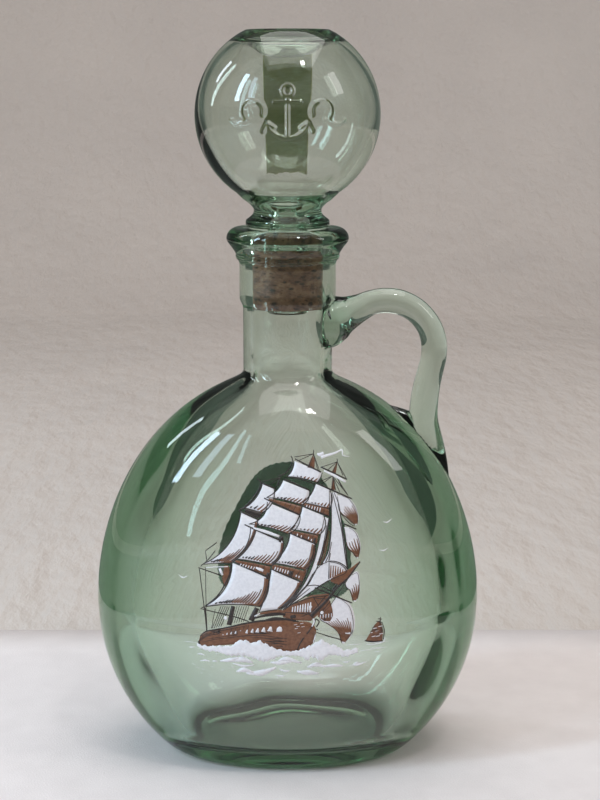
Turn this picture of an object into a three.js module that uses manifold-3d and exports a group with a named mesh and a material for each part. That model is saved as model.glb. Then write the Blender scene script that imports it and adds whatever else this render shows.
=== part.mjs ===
// Decanter with a handle, a hollow globe stopper on a cork, and a sailing ship fired on its front in enamel.
// Millimetres, +Z up. The origin is on the axis of the neck, on the surface that the decanter stands on.
// The ship is on the -Y face, the handle is on the +X side.
import * as THREE from 'three';
import { mergeVertices } from 'three/addons/utils/BufferGeometryUtils.js';
import Module from 'manifold-3d';

// ---- Driving dimensions ----

const GAP = 0.3; // clearance between neighbouring solids

const flask = {
  halfWidth: 73, // greatest half-width, along X
  halfDepth: 42, // greatest half-depth, along Y
  widestZ: 58, // height of the widest section
  rise: 89, // from the widest section to the apex of the shoulder curve
  drop: 74, // from the widest section to the lowest point of the lower curve
  sideExponent: 2.6, // squareness of the side view, 2 is an ellipse
  planExponent: 2.2, // squareness of a horizontal section
  wall: 3.2,
  floor: 7, // height of the inside floor
  floorFillet: 9,
  shoulderBlend: 6, // softness of the curve from shoulder to neck
  neckStartZ: 152,
  segments: 44,
};

const base = { landOuterX: 42, landOuterY: 29, landInnerX: 37.5, landInnerY: 26, punt: 3.2 };

const neck = {
  lowerRadius: 16.6,
  upperRadius: 18,
  stepZ: 173,
  beadRadius: 19.2,
  beadZ: 190.9,
  ringRadius: 22.6,
  ringZ: 197.4,
  lipRadius: 19.8,
  lipZ: 201,
  bore: 13.25,
};

const cork = { topRadius: 12.9, bottomRadius: 12.6, bottomZ: 172, topZ: 196, hole: 7.8, chamfer: 0.7 };

const globe = {
  radius: 34,
  centreZ: 242,
  wall: 3,
  topZ: 272.3,
  dishRadius: 13.4,
  dishFloorZ: 265.2,
  waistRadius: 12.5,
  waistZ: 207.2,
  collarRadius: 15.5,
  collarZ: 201.3,
  stemRadius: 7.45,
  stemBore: 4.6,
  stemEndZ: 169.4,
  segments: 40,
};

const enamel = { lift: GAP, thickness: 0.25 };

const strip = { width: 19.6, lift: GAP, thickness: 0.25, fromDeg: 30, toDeg: 136 };

const label = { halfWidth: 29.6, widestZ: 56, topRise: 46.5, bottomDrop: 13.5, bottomExponent: 2.8 };

// Centre line of the glass rod handle in the XZ plane, from inside the neck to inside the shoulder: x, z, radius
const handlePath = [
  [13, 165.5, 9.6],
  [17.5, 166.8, 9.2],
  [20, 168, 8],
  [23, 169, 6.3],
  [27, 171, 5.2],
  [31, 172.8, 4.75],
  [36, 173.7, 4.65],
  [42, 173, 4.65],
  [48, 169.9, 4.7],
  [52.6, 164.6, 4.7],
  [54.8, 158.5, 4.75],
  [54.9, 152.5, 4.8],
  [53.6, 146.5, 4.9],
  [52.4, 141, 5],
  [51.6, 135, 5.2],
  [51.4, 129, 5.5],
  [52.4, 123, 5.7],
  [54.6, 117, 5.1],
  [57.1, 111, 3.9],
  [59.3, 105.5, 2.4],
  [61, 101.5, 0.9],
];

// Pad of glass that fills the corner between rod and shoulder: x, z, radius
const handlePad = [
  [37, 133.4, 0.9],
  [41, 130.8, 2.4],
  [45, 128, 3.8],
  [50, 124, 4.6],
];

// The sails as four corners each: head left, head right, foot right, foot left (x, z)
const squareSails = {
  mizzen_topgallant: [[-8.5, 112.6], [-4.2, 110.8], [-7.7, 106.9], [-13.9, 103.6]],
  mizzen_topsail: [[-15.9, 102], [-11.2, 99.8], [-19.7, 85], [-29.6, 82.6]],
  main_royal: [[2.8, 120.4], [13, 116.6], [9.8, 113.6], [0.8, 115.6]],
  main_topgallant: [[-0.4, 113.5], [8, 110], [5, 105.2], [-5.6, 107.9]],
  main_upper_topsail: [[-6, 105.7], [4.2, 101.6], [1.2, 95.7], [-10.1, 99.6]],
  main_lower_topsail: [[-12.3, 96.6], [-1.2, 91.8], [-5.9, 83.2], [-17, 86]],
  main_course: [[-19, 83.6], [-6, 78.6], [-10.4, 69], [-28.8, 67.4]],
  fore_royal: [[10.4, 111.6], [14.9, 109.4], [14.1, 103.4], [7.4, 106]],
  fore_topgallant: [[6.5, 104.7], [12.6, 101.6], [10.9, 93.9], [3, 96.7]],
  fore_topsail: [[2, 94.4], [10.2, 91.4], [6.6, 82.4], [-3.8, 84.7]],
  fore_course: [[-4.6, 81.2], [4.4, 77.4], [-2.4, 67.6], [-9.2, 66.4]],
};

// The sails of the far side, seen past the foremast: hoist top, outer bulge, foot tip, hoist bottom
const studdingSails = {
  upper: [[19.6, 108.6], [25.8, 104], [25.2, 97.4], [21, 101.6]],
  middle: [[22.2, 97.2], [27, 92], [26.4, 86], [23.8, 88.6]],
  lower: [[26.4, 82.6], [27.4, 76], [24.8, 70.4], [22.6, 74.4]],
  water: [[18.8, 69.6], [26.2, 64.6], [21.6, 54.8], [17.2, 61.2]],
};

// Triangular sails between foremast and bowsprit: head, tack, clew
const jibs = {
  outer: [[17.4, 108.4], [21.6, 84.4], [12, 83.6]],
  inner: [[14.6, 99.5], [10.6, 83.8], [1.4, 68.8]],
  fore: [[16.6, 82.4], [16, 76.8], [8.4, 76.4]],
};

const shipHull = [
  [-31.2, 53.4],
  [-28.6, 57],
  [-14.6, 61.4],
  [-0.8, 63.2],
  [7.4, 62],
  [10.9, 60],
  [10, 55.4],
  [4, 52.8],
  [-14, 54.8],
  [-30.4, 52.4],
];

const bowWave = [
  [-33, 51.2],
  [-16.4, 53.8],
  [2.6, 51.6],
  [11.2, 54.4],
  [13.8, 53.6],
  [20, 50.6],
  [13, 48.4],
  [-4, 47.4],
  [-20, 49],
];

// Low wave crests under the ship: centre x, centre z, half-length, half-height
const waves = [
  [-22, 46.4, 7, 0.8],
  [1, 45.6, 6, 0.8],
  [15, 45.4, 6, 0.7],
  [-9, 42.3, 8, 0.8],
  [11, 42, 4, 0.6],
];

// Strokes of enamel: x, z along the stroke, and the width at the inner points
const gulls = [
  { points: [[-39.6, 78.6], [-38, 77.6], [-36.2, 78.4]], width: 0.7 },
  { points: [[34.4, 98.2], [36, 97.8], [37.8, 99]], width: 0.7 },
  { points: [[33, 88.2], [34.8, 87.8], [36.4, 88.6]], width: 0.7 },
];
const pennant = {
  points: [[10.2, 122.3], [13.4, 122.2], [17, 123.2], [20.6, 123.5], [22.6, 121.9]],
  width: 1.3,
};

// Spars of dark enamel that stand clear of the sails: two ends and a width
const spars = {
  mizzen_backstay: { ends: [[-30.8, 81.2], [-29.1, 58.2]], width: 0.6 },
  bowsprit: { ends: [[11.8, 62.2], [22.8, 78.2]], width: 0.9 },
};

const distantShip = [
  [29.6, 54.2],
  [35.8, 53.4],
  [36, 60],
  [34.6, 61.6],
  [32.4, 60.4],
  [31, 57],
];

// ---- Colours and finishes ----

function finish(color, roughness, opacity = 1) {
  return new THREE.MeshStandardMaterial({
    color,
    roughness,
    metalness: 0,
    opacity,
    transparent: opacity < 1,
  });
}

const glassFinish = () => finish(0x9fc4a4, 0.05, 0.4);
const corkFinish = () => finish(0x8a6038, 0.85);
const stripFinish = () => finish(0x6b6e4a, 0.8);
const labelFinish = () => finish(0x40593f, 0.6);
const whiteEnamel = () => finish(0xe4e2ea, 0.35);
const brownEnamel = () => finish(0x7a4424, 0.4);
const darkEnamel = () => finish(0x2b211c, 0.4);

// ---- Manifold conversions ----

const wasm = await Module();
wasm.setup();

function toSolid(geometry) {
  const bare = geometry.clone();
  bare.deleteAttribute('normal');
  bare.deleteAttribute('uv');
  const merged = mergeVertices(bare, 1e-4);
  return new wasm.Manifold(
    new wasm.Mesh({
      numProp: 3,
      vertProperties: new Float32Array(merged.attributes.position.array),
      triVerts: new Uint32Array(merged.index.array),
    }),
  );
}

function toGeometry(solid) {
  const { vertProperties, triVerts } = solid.getMesh();
  const geometry = new THREE.BufferGeometry();
  geometry.setAttribute('position', new THREE.BufferAttribute(new Float32Array(vertProperties), 3));
  geometry.setIndex(new THREE.BufferAttribute(new Uint32Array(triVerts), 1));
  return geometry;
}

// ---- Lofts and lathes ----

// Closed skin through rings of equally many points, with a centre point closing each end
function loft(rings, startCentre, endCentre) {
  const count = rings[0].length;
  const points = [startCentre, ...rings.flat(), endCentre];
  const index = [];
  const at = (ring, i) => 1 + ring * count + (i % count);
  const last = points.length - 1;
  for (let i = 0; i < count; i += 1) {
    index.push(0, at(0, i + 1), at(0, i));
    index.push(last, at(rings.length - 1, i), at(rings.length - 1, i + 1));
    for (let ring = 0; ring + 1 < rings.length; ring += 1) {
      index.push(at(ring, i), at(ring, i + 1), at(ring + 1, i + 1));
      index.push(at(ring, i), at(ring + 1, i + 1), at(ring + 1, i));
    }
  }
  const geometry = new THREE.BufferGeometry().setFromPoints(points);
  geometry.setIndex(index);
  return geometry;
}

// Turned solid: the profile holds [radius, height] pairs, starting and ending on the axis or closed on itself
function turned(profile, segments) {
  const points = profile.map(([radius, height]) => new THREE.Vector2(radius, height));
  return new THREE.LatheGeometry(points, segments).rotateX(Math.PI / 2);
}

// ---- Flask ----

const superArc = (u, exponent) => Math.max(0, 1 - u ** exponent) ** (1 / exponent);

const softMax = (p, q, softness) => (p + q + Math.hypot(p - q, softness)) / 2;

// Half-width, half-depth and plan exponent of the flask's skin at a height, moved inwards by inset
function flaskSection(z, inset, neckRadius) {
  const above = z > flask.widestZ;
  const u = Math.min(1, Math.abs(z - flask.widestZ) / (above ? flask.rise : flask.drop));
  const width = flask.halfWidth * superArc(u, 2) - inset;
  const depth = flask.halfDepth * superArc(u, flask.sideExponent) - inset;
  const toNeck = THREE.MathUtils.smoothstep(z, flask.widestZ + 50, flask.neckStartZ - 4);
  const exponent = THREE.MathUtils.lerp(flask.planExponent, 2, toNeck);
  if (!above) return { z, width, depth, exponent };
  const trim = flask.shoulderBlend ** 2 / (4 * neckRadius);
  return {
    z,
    width: softMax(width, neckRadius - trim, flask.shoulderBlend),
    depth: softMax(depth, neckRadius - trim, flask.shoulderBlend),
    exponent,
  };
}

function sectionRing({ z, width, depth, exponent = 2 }, grow = 0) {
  const ring = [];
  for (let i = 0; i < flask.segments; i += 1) {
    const angle = (2 * Math.PI * i) / flask.segments;
    const across = Math.cos(angle);
    const along = Math.sin(angle);
    ring.push(
      new THREE.Vector3(
        (width + grow) * Math.sign(across) * Math.abs(across) ** (2 / exponent),
        (depth + grow) * Math.sign(along) * Math.abs(along) ** (2 / exponent),
        z,
      ),
    );
  }
  return ring;
}

const roundSection = (radius, z) => ({ z, width: radius, depth: radius, exponent: 2 });

// Heights of the body's sections: closer together where the skin turns faster
const bodyHeights = [3, 9, 17, 27, 38, 50, 62, 74, 86, 97, 107, 116, 123, 129, 134, 138, 141.5, 144.5, 148];

function outerSections() {
  return [
    { z: 0, width: base.landOuterX, depth: base.landOuterY, exponent: flask.planExponent },
    { z: 0.9, width: base.landOuterX + 3, depth: base.landOuterY + 2, exponent: flask.planExponent },
    ...bodyHeights.map((z) => flaskSection(z, 0, neck.lowerRadius)),
    roundSection(neck.lowerRadius, flask.neckStartZ),
  ];
}

function neckSections() {
  return [
    roundSection(neck.lowerRadius, neck.stepZ),
    roundSection(neck.upperRadius, neck.stepZ + 1.8),
    roundSection(neck.upperRadius, neck.beadZ - 1.6),
    roundSection(neck.beadRadius, neck.beadZ),
    roundSection(neck.beadRadius - 0.3, neck.beadZ + 1),
    roundSection(neck.ringRadius - 2, neck.beadZ + 1.6),
    roundSection(neck.ringRadius - 0.3, neck.ringZ - 1.4),
    roundSection(neck.ringRadius, neck.ringZ),
    roundSection(neck.ringRadius - 0.4, neck.ringZ + 1.8),
    roundSection(neck.lipRadius, neck.lipZ),
  ];
}

function innerSections() {
  const lowest = flaskSection(flask.floor + flask.floorFillet, flask.wall, neck.bore);
  const floorX = lowest.width - 1.9 * flask.floorFillet;
  const floorY = lowest.depth - flask.floorFillet;
  const fillet = [0, 0.35, 0.7].map((part) => {
    const turn = (part * Math.PI) / 2;
    return {
      z: flask.floor + flask.floorFillet * (1 - Math.cos(turn)),
      width: THREE.MathUtils.lerp(floorX, lowest.width, Math.sin(turn)),
      depth: THREE.MathUtils.lerp(floorY, lowest.depth, Math.sin(turn)),
      exponent: flask.planExponent,
    };
  });
  const walls = bodyHeights
    .filter((z) => z > flask.floor + flask.floorFillet)
    .map((z) => flaskSection(z, flask.wall, neck.bore));
  return [...fillet, ...walls, roundSection(neck.bore, flask.neckStartZ)];
}

function flaskGeometry() {
  const punt = [
    { z: base.punt * 0.6, width: base.landInnerX * 0.7, depth: base.landInnerY * 0.7, exponent: 2.2 },
    { z: 0, width: base.landInnerX, depth: base.landInnerY, exponent: flask.planExponent },
  ];
  const mouth = [roundSection(neck.bore + 0.9, neck.lipZ), roundSection(neck.bore, neck.lipZ - 0.9)];
  const sections = [
    ...punt,
    ...outerSections(),
    ...neckSections(),
    ...mouth,
    ...innerSections().reverse(),
  ];
  const rings = sections.map((section) => sectionRing(section));
  return loft(rings, new THREE.Vector3(0, 0, base.punt), new THREE.Vector3(0, 0, flask.floor));
}

// The flask's outside as a filled solid, grown by a clearance
function flaskEnvelope(grow) {
  const rings = [...outerSections(), ...neckSections()].map((section) => sectionRing(section, grow));
  const bottom = new THREE.Vector3(0, 0, 0);
  const top = new THREE.Vector3(0, 0, neck.lipZ);
  return toSolid(loft(rings, bottom, top));
}

// ---- Handle ----

function rodGeometry(stations, steps, sides) {
  const centres = stations.map(([x, z]) => new THREE.Vector3(x, 0, z));
  const curve = new THREE.CatmullRomCurve3(centres, false, 'centripetal');
  const across = new THREE.Vector3(0, 1, 0);
  const rings = [];
  for (let step = 0; step <= steps; step += 1) {
    const t = step / steps;
    const centre = curve.getPoint(t);
    const side = new THREE.Vector3().crossVectors(across, curve.getTangent(t)).normalize();
    const place = t * (stations.length - 1);
    const before = Math.min(Math.floor(place), stations.length - 2);
    const radius = THREE.MathUtils.lerp(stations[before][2], stations[before + 1][2], place - before);
    const ring = [];
    for (let i = 0; i < sides; i += 1) {
      const angle = (2 * Math.PI * i) / sides;
      const point = centre.clone().addScaledVector(side, radius * Math.cos(angle));
      ring.push(point.addScaledVector(across, radius * Math.sin(angle)));
    }
    rings.push(ring);
  }
  return loft(rings, curve.getPoint(0), curve.getPoint(1));
}

function handleGeometry() {
  const rod = toSolid(rodGeometry(handlePath, 32, 14));
  const pad = toSolid(rodGeometry(handlePad, 5, 12));
  return toGeometry(rod.add(pad).subtract(flaskEnvelope(GAP)));
}

// ---- Stopper ----

// Points on a circle about the globe's centre, polar angles counted from +Z
function globeArc(radius, fromDeg, toDeg, steps) {
  const arc = [];
  for (let step = 0; step <= steps; step += 1) {
    const polar = THREE.MathUtils.degToRad(THREE.MathUtils.lerp(fromDeg, toDeg, step / steps));
    arc.push([radius * Math.sin(polar), globe.centreZ + radius * Math.cos(polar)]);
  }
  return arc;
}

// Bowl pressed into the top of the globe, from its middle to its edge
function dishArc(radius, floorZ, rimZ, steps) {
  const arc = [];
  for (let step = 0; step <= steps; step += 1) {
    const across = step / steps;
    arc.push([radius * across, floorZ + (rimZ - floorZ) * across ** 2.4]);
  }
  return arc;
}

function globeGeometry() {
  const inside = globe.radius - globe.wall;
  const innerDishZ = globe.dishFloorZ - globe.wall;
  const profile = [
    ...dishArc(globe.dishRadius, globe.dishFloorZ, globe.topZ - 0.5, 4),
    [globe.dishRadius + 1, globe.topZ],
    [globe.dishRadius + 2.4, globe.topZ - 0.3],
    ...globeArc(globe.radius, 32, 146, 13),
    [globe.waistRadius + 2.2, globe.waistZ + 3.6],
    [globe.waistRadius, globe.waistZ],
    [globe.waistRadius + 0.6, globe.waistZ - 1.6],
    [globe.collarRadius, globe.collarZ + 1.8],
    [globe.collarRadius, globe.collarZ + 0.4],
    [globe.collarRadius - 0.4, globe.collarZ],
    [globe.stemRadius + 0.4, globe.collarZ],
    [globe.stemRadius, globe.collarZ - 0.4],
    [globe.stemRadius, globe.stemEndZ + 0.8],
    [globe.stemRadius - 0.8, globe.stemEndZ],
    [globe.stemBore + 0.5, globe.stemEndZ],
    [globe.stemBore, globe.stemEndZ + 0.5],
    [globe.stemBore, globe.waistZ - 3],
    [globe.stemBore + 2.4, globe.waistZ + 2.4],
    ...globeArc(inside, 149, 40, 12),
    ...dishArc(globe.dishRadius + 3, innerDishZ, innerDishZ + 3.4, 3).reverse(),
  ];
  return turned(profile.reverse(), globe.segments);
}

function corkGeometry() {
  const { topRadius, bottomRadius, bottomZ, topZ, hole, chamfer } = cork;
  return turned(
    [
      [hole, bottomZ],
      [bottomRadius - chamfer, bottomZ],
      [bottomRadius, bottomZ + chamfer],
      [topRadius, topZ - chamfer],
      [topRadius - chamfer, topZ],
      [hole, topZ],
      [hole, bottomZ],
    ],
    globe.segments,
  );
}

function sealStripGeometry() {
  const low = globe.radius + strip.lift;
  const outer = globeArc(low + strip.thickness, strip.toDeg, strip.fromDeg, 12);
  const inner = globeArc(low, strip.fromDeg, strip.toDeg, 12);
  const shell = toSolid(turned([...outer, ...inner, outer[0]], globe.segments));
  const reach = globe.radius * 2;
  const slab = new THREE.BoxGeometry(strip.width, reach, reach * 1.1);
  slab.translate(0, reach / 2 + 1, globe.centreZ);
  return toGeometry(shell.intersect(toSolid(slab)));
}

// ---- Thin pieces that lie on the flask ----

const skinShell = flaskEnvelope(enamel.lift + enamel.thickness).subtract(flaskEnvelope(enamel.lift));

// A flat outline in XZ, carried onto the flask's front (side -1) or back (side +1)
function onSkin(points, side) {
  const reach = flask.halfDepth + 10;
  const shape = new THREE.Shape(points.map(([x, z]) => new THREE.Vector2(x, z)));
  const prism = new THREE.ExtrudeGeometry(shape, { depth: reach, bevelEnabled: false });
  prism.rotateX(Math.PI / 2);
  if (side > 0) prism.translate(0, reach, 0);
  return toGeometry(skinShell.intersect(toSolid(prism)));
}

function bowed(from, to, bow, steps) {
  const points = [];
  for (let step = 0; step < steps; step += 1) {
    const t = step / steps;
    const lift = 4 * bow * t * (1 - t);
    const x = THREE.MathUtils.lerp(from[0], to[0], t) + lift * (to[1] - from[1]);
    const z = THREE.MathUtils.lerp(from[1], to[1], t) - lift * (to[0] - from[0]);
    points.push([x, z]);
  }
  return points;
}

// Square sail: both leeches bow to leeward and the foot lifts
function squareSailOutline([headLeft, headRight, footRight, footLeft]) {
  return [
    ...bowed(headLeft, headRight, 0, 1),
    ...bowed(headRight, footRight, -0.08, 3),
    ...bowed(footRight, footLeft, 0.05, 3),
    ...bowed(footLeft, headLeft, 0.1, 3),
  ];
}

function studdingSailOutline([top, bulge, tip, bottom]) {
  return [...bowed(top, bulge, -0.15, 3), ...bowed(bulge, tip, -0.15, 3), tip, ...bowed(bottom, top, 0, 1)];
}

function jibOutline([head, tack, clew]) {
  return [...bowed(head, tack, 0, 1), ...bowed(tack, clew, 0.02, 2), ...bowed(clew, head, 0.04, 2)];
}

function ovalOutline(x, z, halfLength, halfHeight, count) {
  const points = [];
  for (let i = 0; i < count; i += 1) {
    const angle = (2 * Math.PI * i) / count;
    points.push([x + halfLength * Math.cos(angle), z + halfHeight * Math.sin(angle)]);
  }
  return points;
}

// A stroke of even width with pointed ends
function strokeOutline({ points, width }) {
  const inner = points.slice(1, -1);
  const shifted = (shift) => inner.map(([x, z]) => [x, z + shift]);
  const ends = [points[0], points[points.length - 1]];
  return [ends[0], ...shifted(-width / 2), ends[1], ...shifted(width / 2).reverse()];
}

// A bar of even width with square ends
function sparOutline({ ends, width }) {
  const [[x0, z0], [x1, z1]] = ends;
  const length = Math.hypot(x1 - x0, z1 - z0);
  const sideX = ((z1 - z0) / length) * (width / 2);
  const sideZ = ((x0 - x1) / length) * (width / 2);
  return [
    [x0 - sideX, z0 - sideZ],
    [x0 + sideX, z0 + sideZ],
    [x1 + sideX, z1 + sideZ],
    [x1 - sideX, z1 - sideZ],
  ];
}

function labelOutline() {
  const points = [];
  const count = 32;
  for (let i = 0; i < count; i += 1) {
    const angle = (2 * Math.PI * i) / count;
    const across = Math.cos(angle);
    const up = Math.sin(angle);
    const power = up > 0 ? 1 : 2 / label.bottomExponent;
    const height = up > 0 ? label.topRise : label.bottomDrop;
    points.push([
      label.halfWidth * Math.sign(across) * Math.abs(across) ** power,
      label.widestZ + height * Math.sign(up) * Math.abs(up) ** power,
    ]);
  }
  return points;
}

// ---- Assembly ----

const decanter = new THREE.Group();

function add(name, geometry, material) {
  const mesh = new THREE.Mesh(geometry, material);
  mesh.name = name;
  decanter.add(mesh);
}

add('flask', flaskGeometry(), glassFinish());
add('handle', handleGeometry(), glassFinish());
add('stopper_globe', globeGeometry(), glassFinish());
add('stopper_cork', corkGeometry(), corkFinish());
add('seal_strip', sealStripGeometry(), stripFinish());
add('back_label', onSkin(labelOutline(), 1), labelFinish());

for (const [name, corners] of Object.entries(squareSails)) {
  add(`sail_${name}`, onSkin(squareSailOutline(corners), -1), whiteEnamel());
}
for (const [name, corners] of Object.entries(studdingSails)) {
  add(`sail_studding_${name}`, onSkin(studdingSailOutline(corners), -1), whiteEnamel());
}
for (const [name, corners] of Object.entries(jibs)) {
  add(`sail_jib_${name}`, onSkin(jibOutline(corners), -1), whiteEnamel());
}
for (const [name, spar] of Object.entries(spars)) {
  add(name, onSkin(sparOutline(spar), -1), darkEnamel());
}
add('ship_hull', onSkin(shipHull, -1), brownEnamel());
add('bow_wave', onSkin(bowWave, -1), whiteEnamel());
waves.forEach(([x, z, halfLength, halfHeight], i) => {
  add(`wave_${i + 1}`, onSkin(ovalOutline(x, z, halfLength, halfHeight, 8), -1), whiteEnamel());
});
gulls.forEach((gull, i) => {
  add(`gull_${i + 1}`, onSkin(strokeOutline(gull), -1), whiteEnamel());
});
add('pennant', onSkin(strokeOutline(pennant), -1), whiteEnamel());
add('distant_ship', onSkin(distantShip, -1), brownEnamel());

export default decanter;
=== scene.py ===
"""Looks for the glass decanter with a ship print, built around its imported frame. Blender 4.5, metres.

The front, with the ship, faces -Y and the handle is on +X. Shapes are in millimetres, scaled by MM.
"""
import math

import bpy
import numpy as np
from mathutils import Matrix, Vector


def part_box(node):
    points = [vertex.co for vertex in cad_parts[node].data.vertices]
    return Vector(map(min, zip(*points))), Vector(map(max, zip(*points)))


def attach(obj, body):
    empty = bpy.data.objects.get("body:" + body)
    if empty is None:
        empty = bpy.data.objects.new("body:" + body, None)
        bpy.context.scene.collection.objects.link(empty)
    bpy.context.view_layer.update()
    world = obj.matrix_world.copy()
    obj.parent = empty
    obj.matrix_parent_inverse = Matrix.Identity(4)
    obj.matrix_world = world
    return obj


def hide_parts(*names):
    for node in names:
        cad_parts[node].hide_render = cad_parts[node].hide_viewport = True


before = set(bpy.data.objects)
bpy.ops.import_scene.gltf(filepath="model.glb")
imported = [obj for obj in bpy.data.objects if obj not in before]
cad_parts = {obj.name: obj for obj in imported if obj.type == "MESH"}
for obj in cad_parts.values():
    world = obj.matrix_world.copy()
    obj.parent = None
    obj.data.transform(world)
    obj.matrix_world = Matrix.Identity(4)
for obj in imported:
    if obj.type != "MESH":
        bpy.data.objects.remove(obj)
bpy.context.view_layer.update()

MM = 0.001
SEED = 7

# ---- Sizes taken from the frame, in millimetres ----


def box_mm(node):
    low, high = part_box(node)
    return np.array(low) / MM, np.array(high) / MM


_, FLASK_HIGH = box_mm("flask")
GLOBE_LOW, GLOBE_HIGH = box_mm("stopper_globe")
CORK_LOW, CORK_HIGH = box_mm("stopper_cork")
STRIP_LOW, STRIP_HIGH = box_mm("seal_strip")
LABEL_LOW, LABEL_HIGH = box_mm("back_label")

LIP_Z = FLASK_HIGH[2]
HALF_WIDTH = 73.0
HALF_DEPTH = 42.0
WIDEST_Z = 58.0
RISE = 89.0
DROP = 74.0
SIDE_EXPONENT = 2.6
PLAN_EXPONENT = 2.2
SHOULDER_BLEND = 6.0
NECK_RADIUS = 16.6
NECK_START_Z = 152.0
BORE = 13.25
WALL = 3.2
SIDE_THICKENING = 8.0
FLOOR_Z = 7.0
FLOOR_CROWN = 0.8
FLOOR_FILLET = 5.0
FLOOR_WIDTH_STEP = 7.0
FLOOR_DEPTH_STEP = 9.5

GLOBE_RADIUS = GLOBE_HIGH[0]
GLOBE_CENTRE_Z = 242.0
GLOBE_WALL = 3.0
GLOBE_TOP_Z = GLOBE_HIGH[2]
STEM_END_Z = GLOBE_LOW[2]


# ---- Mesh helpers ----


def mesh_object(name, points, faces, smooth=True):
    """An object from points in millimetres."""
    mesh = bpy.data.meshes.new(name)
    mesh.from_pydata([tuple(p) for p in np.asarray(points) * MM], [], [tuple(f) for f in faces])
    mesh.update()
    if smooth:
        mesh.shade_smooth()
    piece = bpy.data.objects.new(name, mesh)
    bpy.context.scene.collection.objects.link(piece)
    return piece


def loft_faces(ring_count, per_ring, first=0):
    faces = []
    for ring in range(ring_count - 1):
        low = first + ring * per_ring
        high = low + per_ring
        for i in range(per_ring):
            j = (i + 1) % per_ring
            faces.append((low + i, low + j, high + j, high + i))
    return faces


def closed_loft(name, rings, start, end):
    """A closed skin through rings (N, M, 3), with a fan to a centre point at each end."""
    rings = np.asarray(rings)
    count, per_ring = rings.shape[:2]
    points = np.vstack([rings.reshape(-1, 3), [start], [end]])
    faces = loft_faces(count, per_ring)
    last = (count - 1) * per_ring
    for i in range(per_ring):
        j = (i + 1) % per_ring
        faces.append((count * per_ring, j, i))
        faces.append((count * per_ring + 1, last + i, last + j))
    return mesh_object(name, points, faces)


def smooth_path(knots, per_span):
    """Catmull-Rom curve through the knots."""
    knots = np.asarray(knots, float)
    padded = np.vstack([2 * knots[0] - knots[1], knots, 2 * knots[-1] - knots[-2]])
    out = []
    for k in range(1, len(padded) - 2):
        p0, p1, p2, p3 = padded[k - 1 : k + 3]
        for t in np.linspace(0, 1, per_span, endpoint=False):
            out.append(
                0.5 * (2 * p1 + (p2 - p0) * t + (2 * p0 - 5 * p1 + 4 * p2 - p3) * t**2
                       + (3 * p1 - p0 - 3 * p2 + p3) * t**3)
            )
    out.append(knots[-1])
    return np.array(out)


def smoothstep(x, low, high):
    t = np.clip((x - low) / (high - low), 0, 1)
    return t * t * (3 - 2 * t)


# ---- The flask's skin ----


def super_arc(u, exponent):
    return np.maximum(0, 1 - u**exponent) ** (1 / exponent)


def soft_max(p, q, softness):
    return (p + q + np.hypot(p - q, softness)) / 2


def flask_section(z, inset=0.0, neck_radius=NECK_RADIUS, side_inset=0.0):
    """Half-width, half-depth and plan exponent of the skin at a height, moved inwards by inset."""
    z = np.asarray(z, float)
    above = z > WIDEST_Z
    u = np.minimum(1, np.abs(z - WIDEST_Z) / np.where(above, RISE, DROP))
    width = HALF_WIDTH * super_arc(u, 2) - inset - side_inset
    depth = HALF_DEPTH * super_arc(u, SIDE_EXPONENT) - inset
    exponent = PLAN_EXPONENT + (2 - PLAN_EXPONENT) * smoothstep(z, WIDEST_Z + 50, NECK_START_Z - 4)
    neck = neck_radius - SHOULDER_BLEND**2 / (4 * neck_radius)
    width = np.where(above, soft_max(width, neck, SHOULDER_BLEND), width)
    depth = np.where(above, soft_max(depth, neck, SHOULDER_BLEND), depth)
    return width, depth, exponent


def section_rings(heights, widths, depths, exponents, segments):
    angles = np.linspace(0, 2 * math.pi, segments, endpoint=False)
    across, along = np.cos(angles), np.sin(angles)
    rings = np.zeros((len(heights), segments, 3))
    power = (2 / np.asarray(exponents))[:, None]
    rings[:, :, 0] = np.asarray(widths)[:, None] * np.sign(across) * np.abs(across) ** power
    rings[:, :, 1] = np.asarray(depths)[:, None] * np.sign(along) * np.abs(along) ** power
    rings[:, :, 2] = np.asarray(heights)[:, None]
    return rings


def on_flask(points, lift, side=-1):
    """Carries flat points (x, z) onto the front (-1) or back (+1) of the flask, lift mm off the glass."""
    points = np.asarray(points, float)
    x, z = points[:, 0], points[:, 1]

    def depth_at(x, z):
        width, depth, exponent = flask_section(z)
        return depth * np.maximum(1e-6, 1 - np.abs(x / width) ** exponent) ** (1 / exponent)

    step = 0.01
    y = depth_at(x, z)
    slope_x = (depth_at(x + step, z) - y) / step
    slope_z = (depth_at(x, z + step) - y) / step
    normal = np.stack([-slope_x, np.ones_like(x), -slope_z], 1)
    normal /= np.linalg.norm(normal, axis=1)[:, None]
    out = np.stack([x, y, z], 1) + normal * lift
    out[:, 1] *= side
    return out


# ---- Glass: the flask with its handle ----

FLASK_SEGMENTS = 256
LAND_INNER = (37.5, 26.0)
LAND_OUTER = (42.0, 29.0)
PUNT_RISE = 3.2
HEEL = 4.0

# Radius and height up the outside of the neck and over the ring to the lip
NECK_KNOTS = [
    (16.6, 152), (16.6, 160), (16.65, 170.5), (16.95, 172.4), (17.7, 174), (18, 176), (18, 182),
    (18, 187.4), (18.35, 188.9), (19.1, 189.7), (19.3, 190.4), (19.3, 191.3), (19.8, 192.4),
    (21.2, 194.4), (22.4, 196), (22.65, 197.2), (22.3, 198.7), (21.3, 200), (19.9, 200.8), (18.2, 201),
    (15.6, 201), (14.2, 200.8), (13.45, 200.1), (13.25, 199),
]


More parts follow.
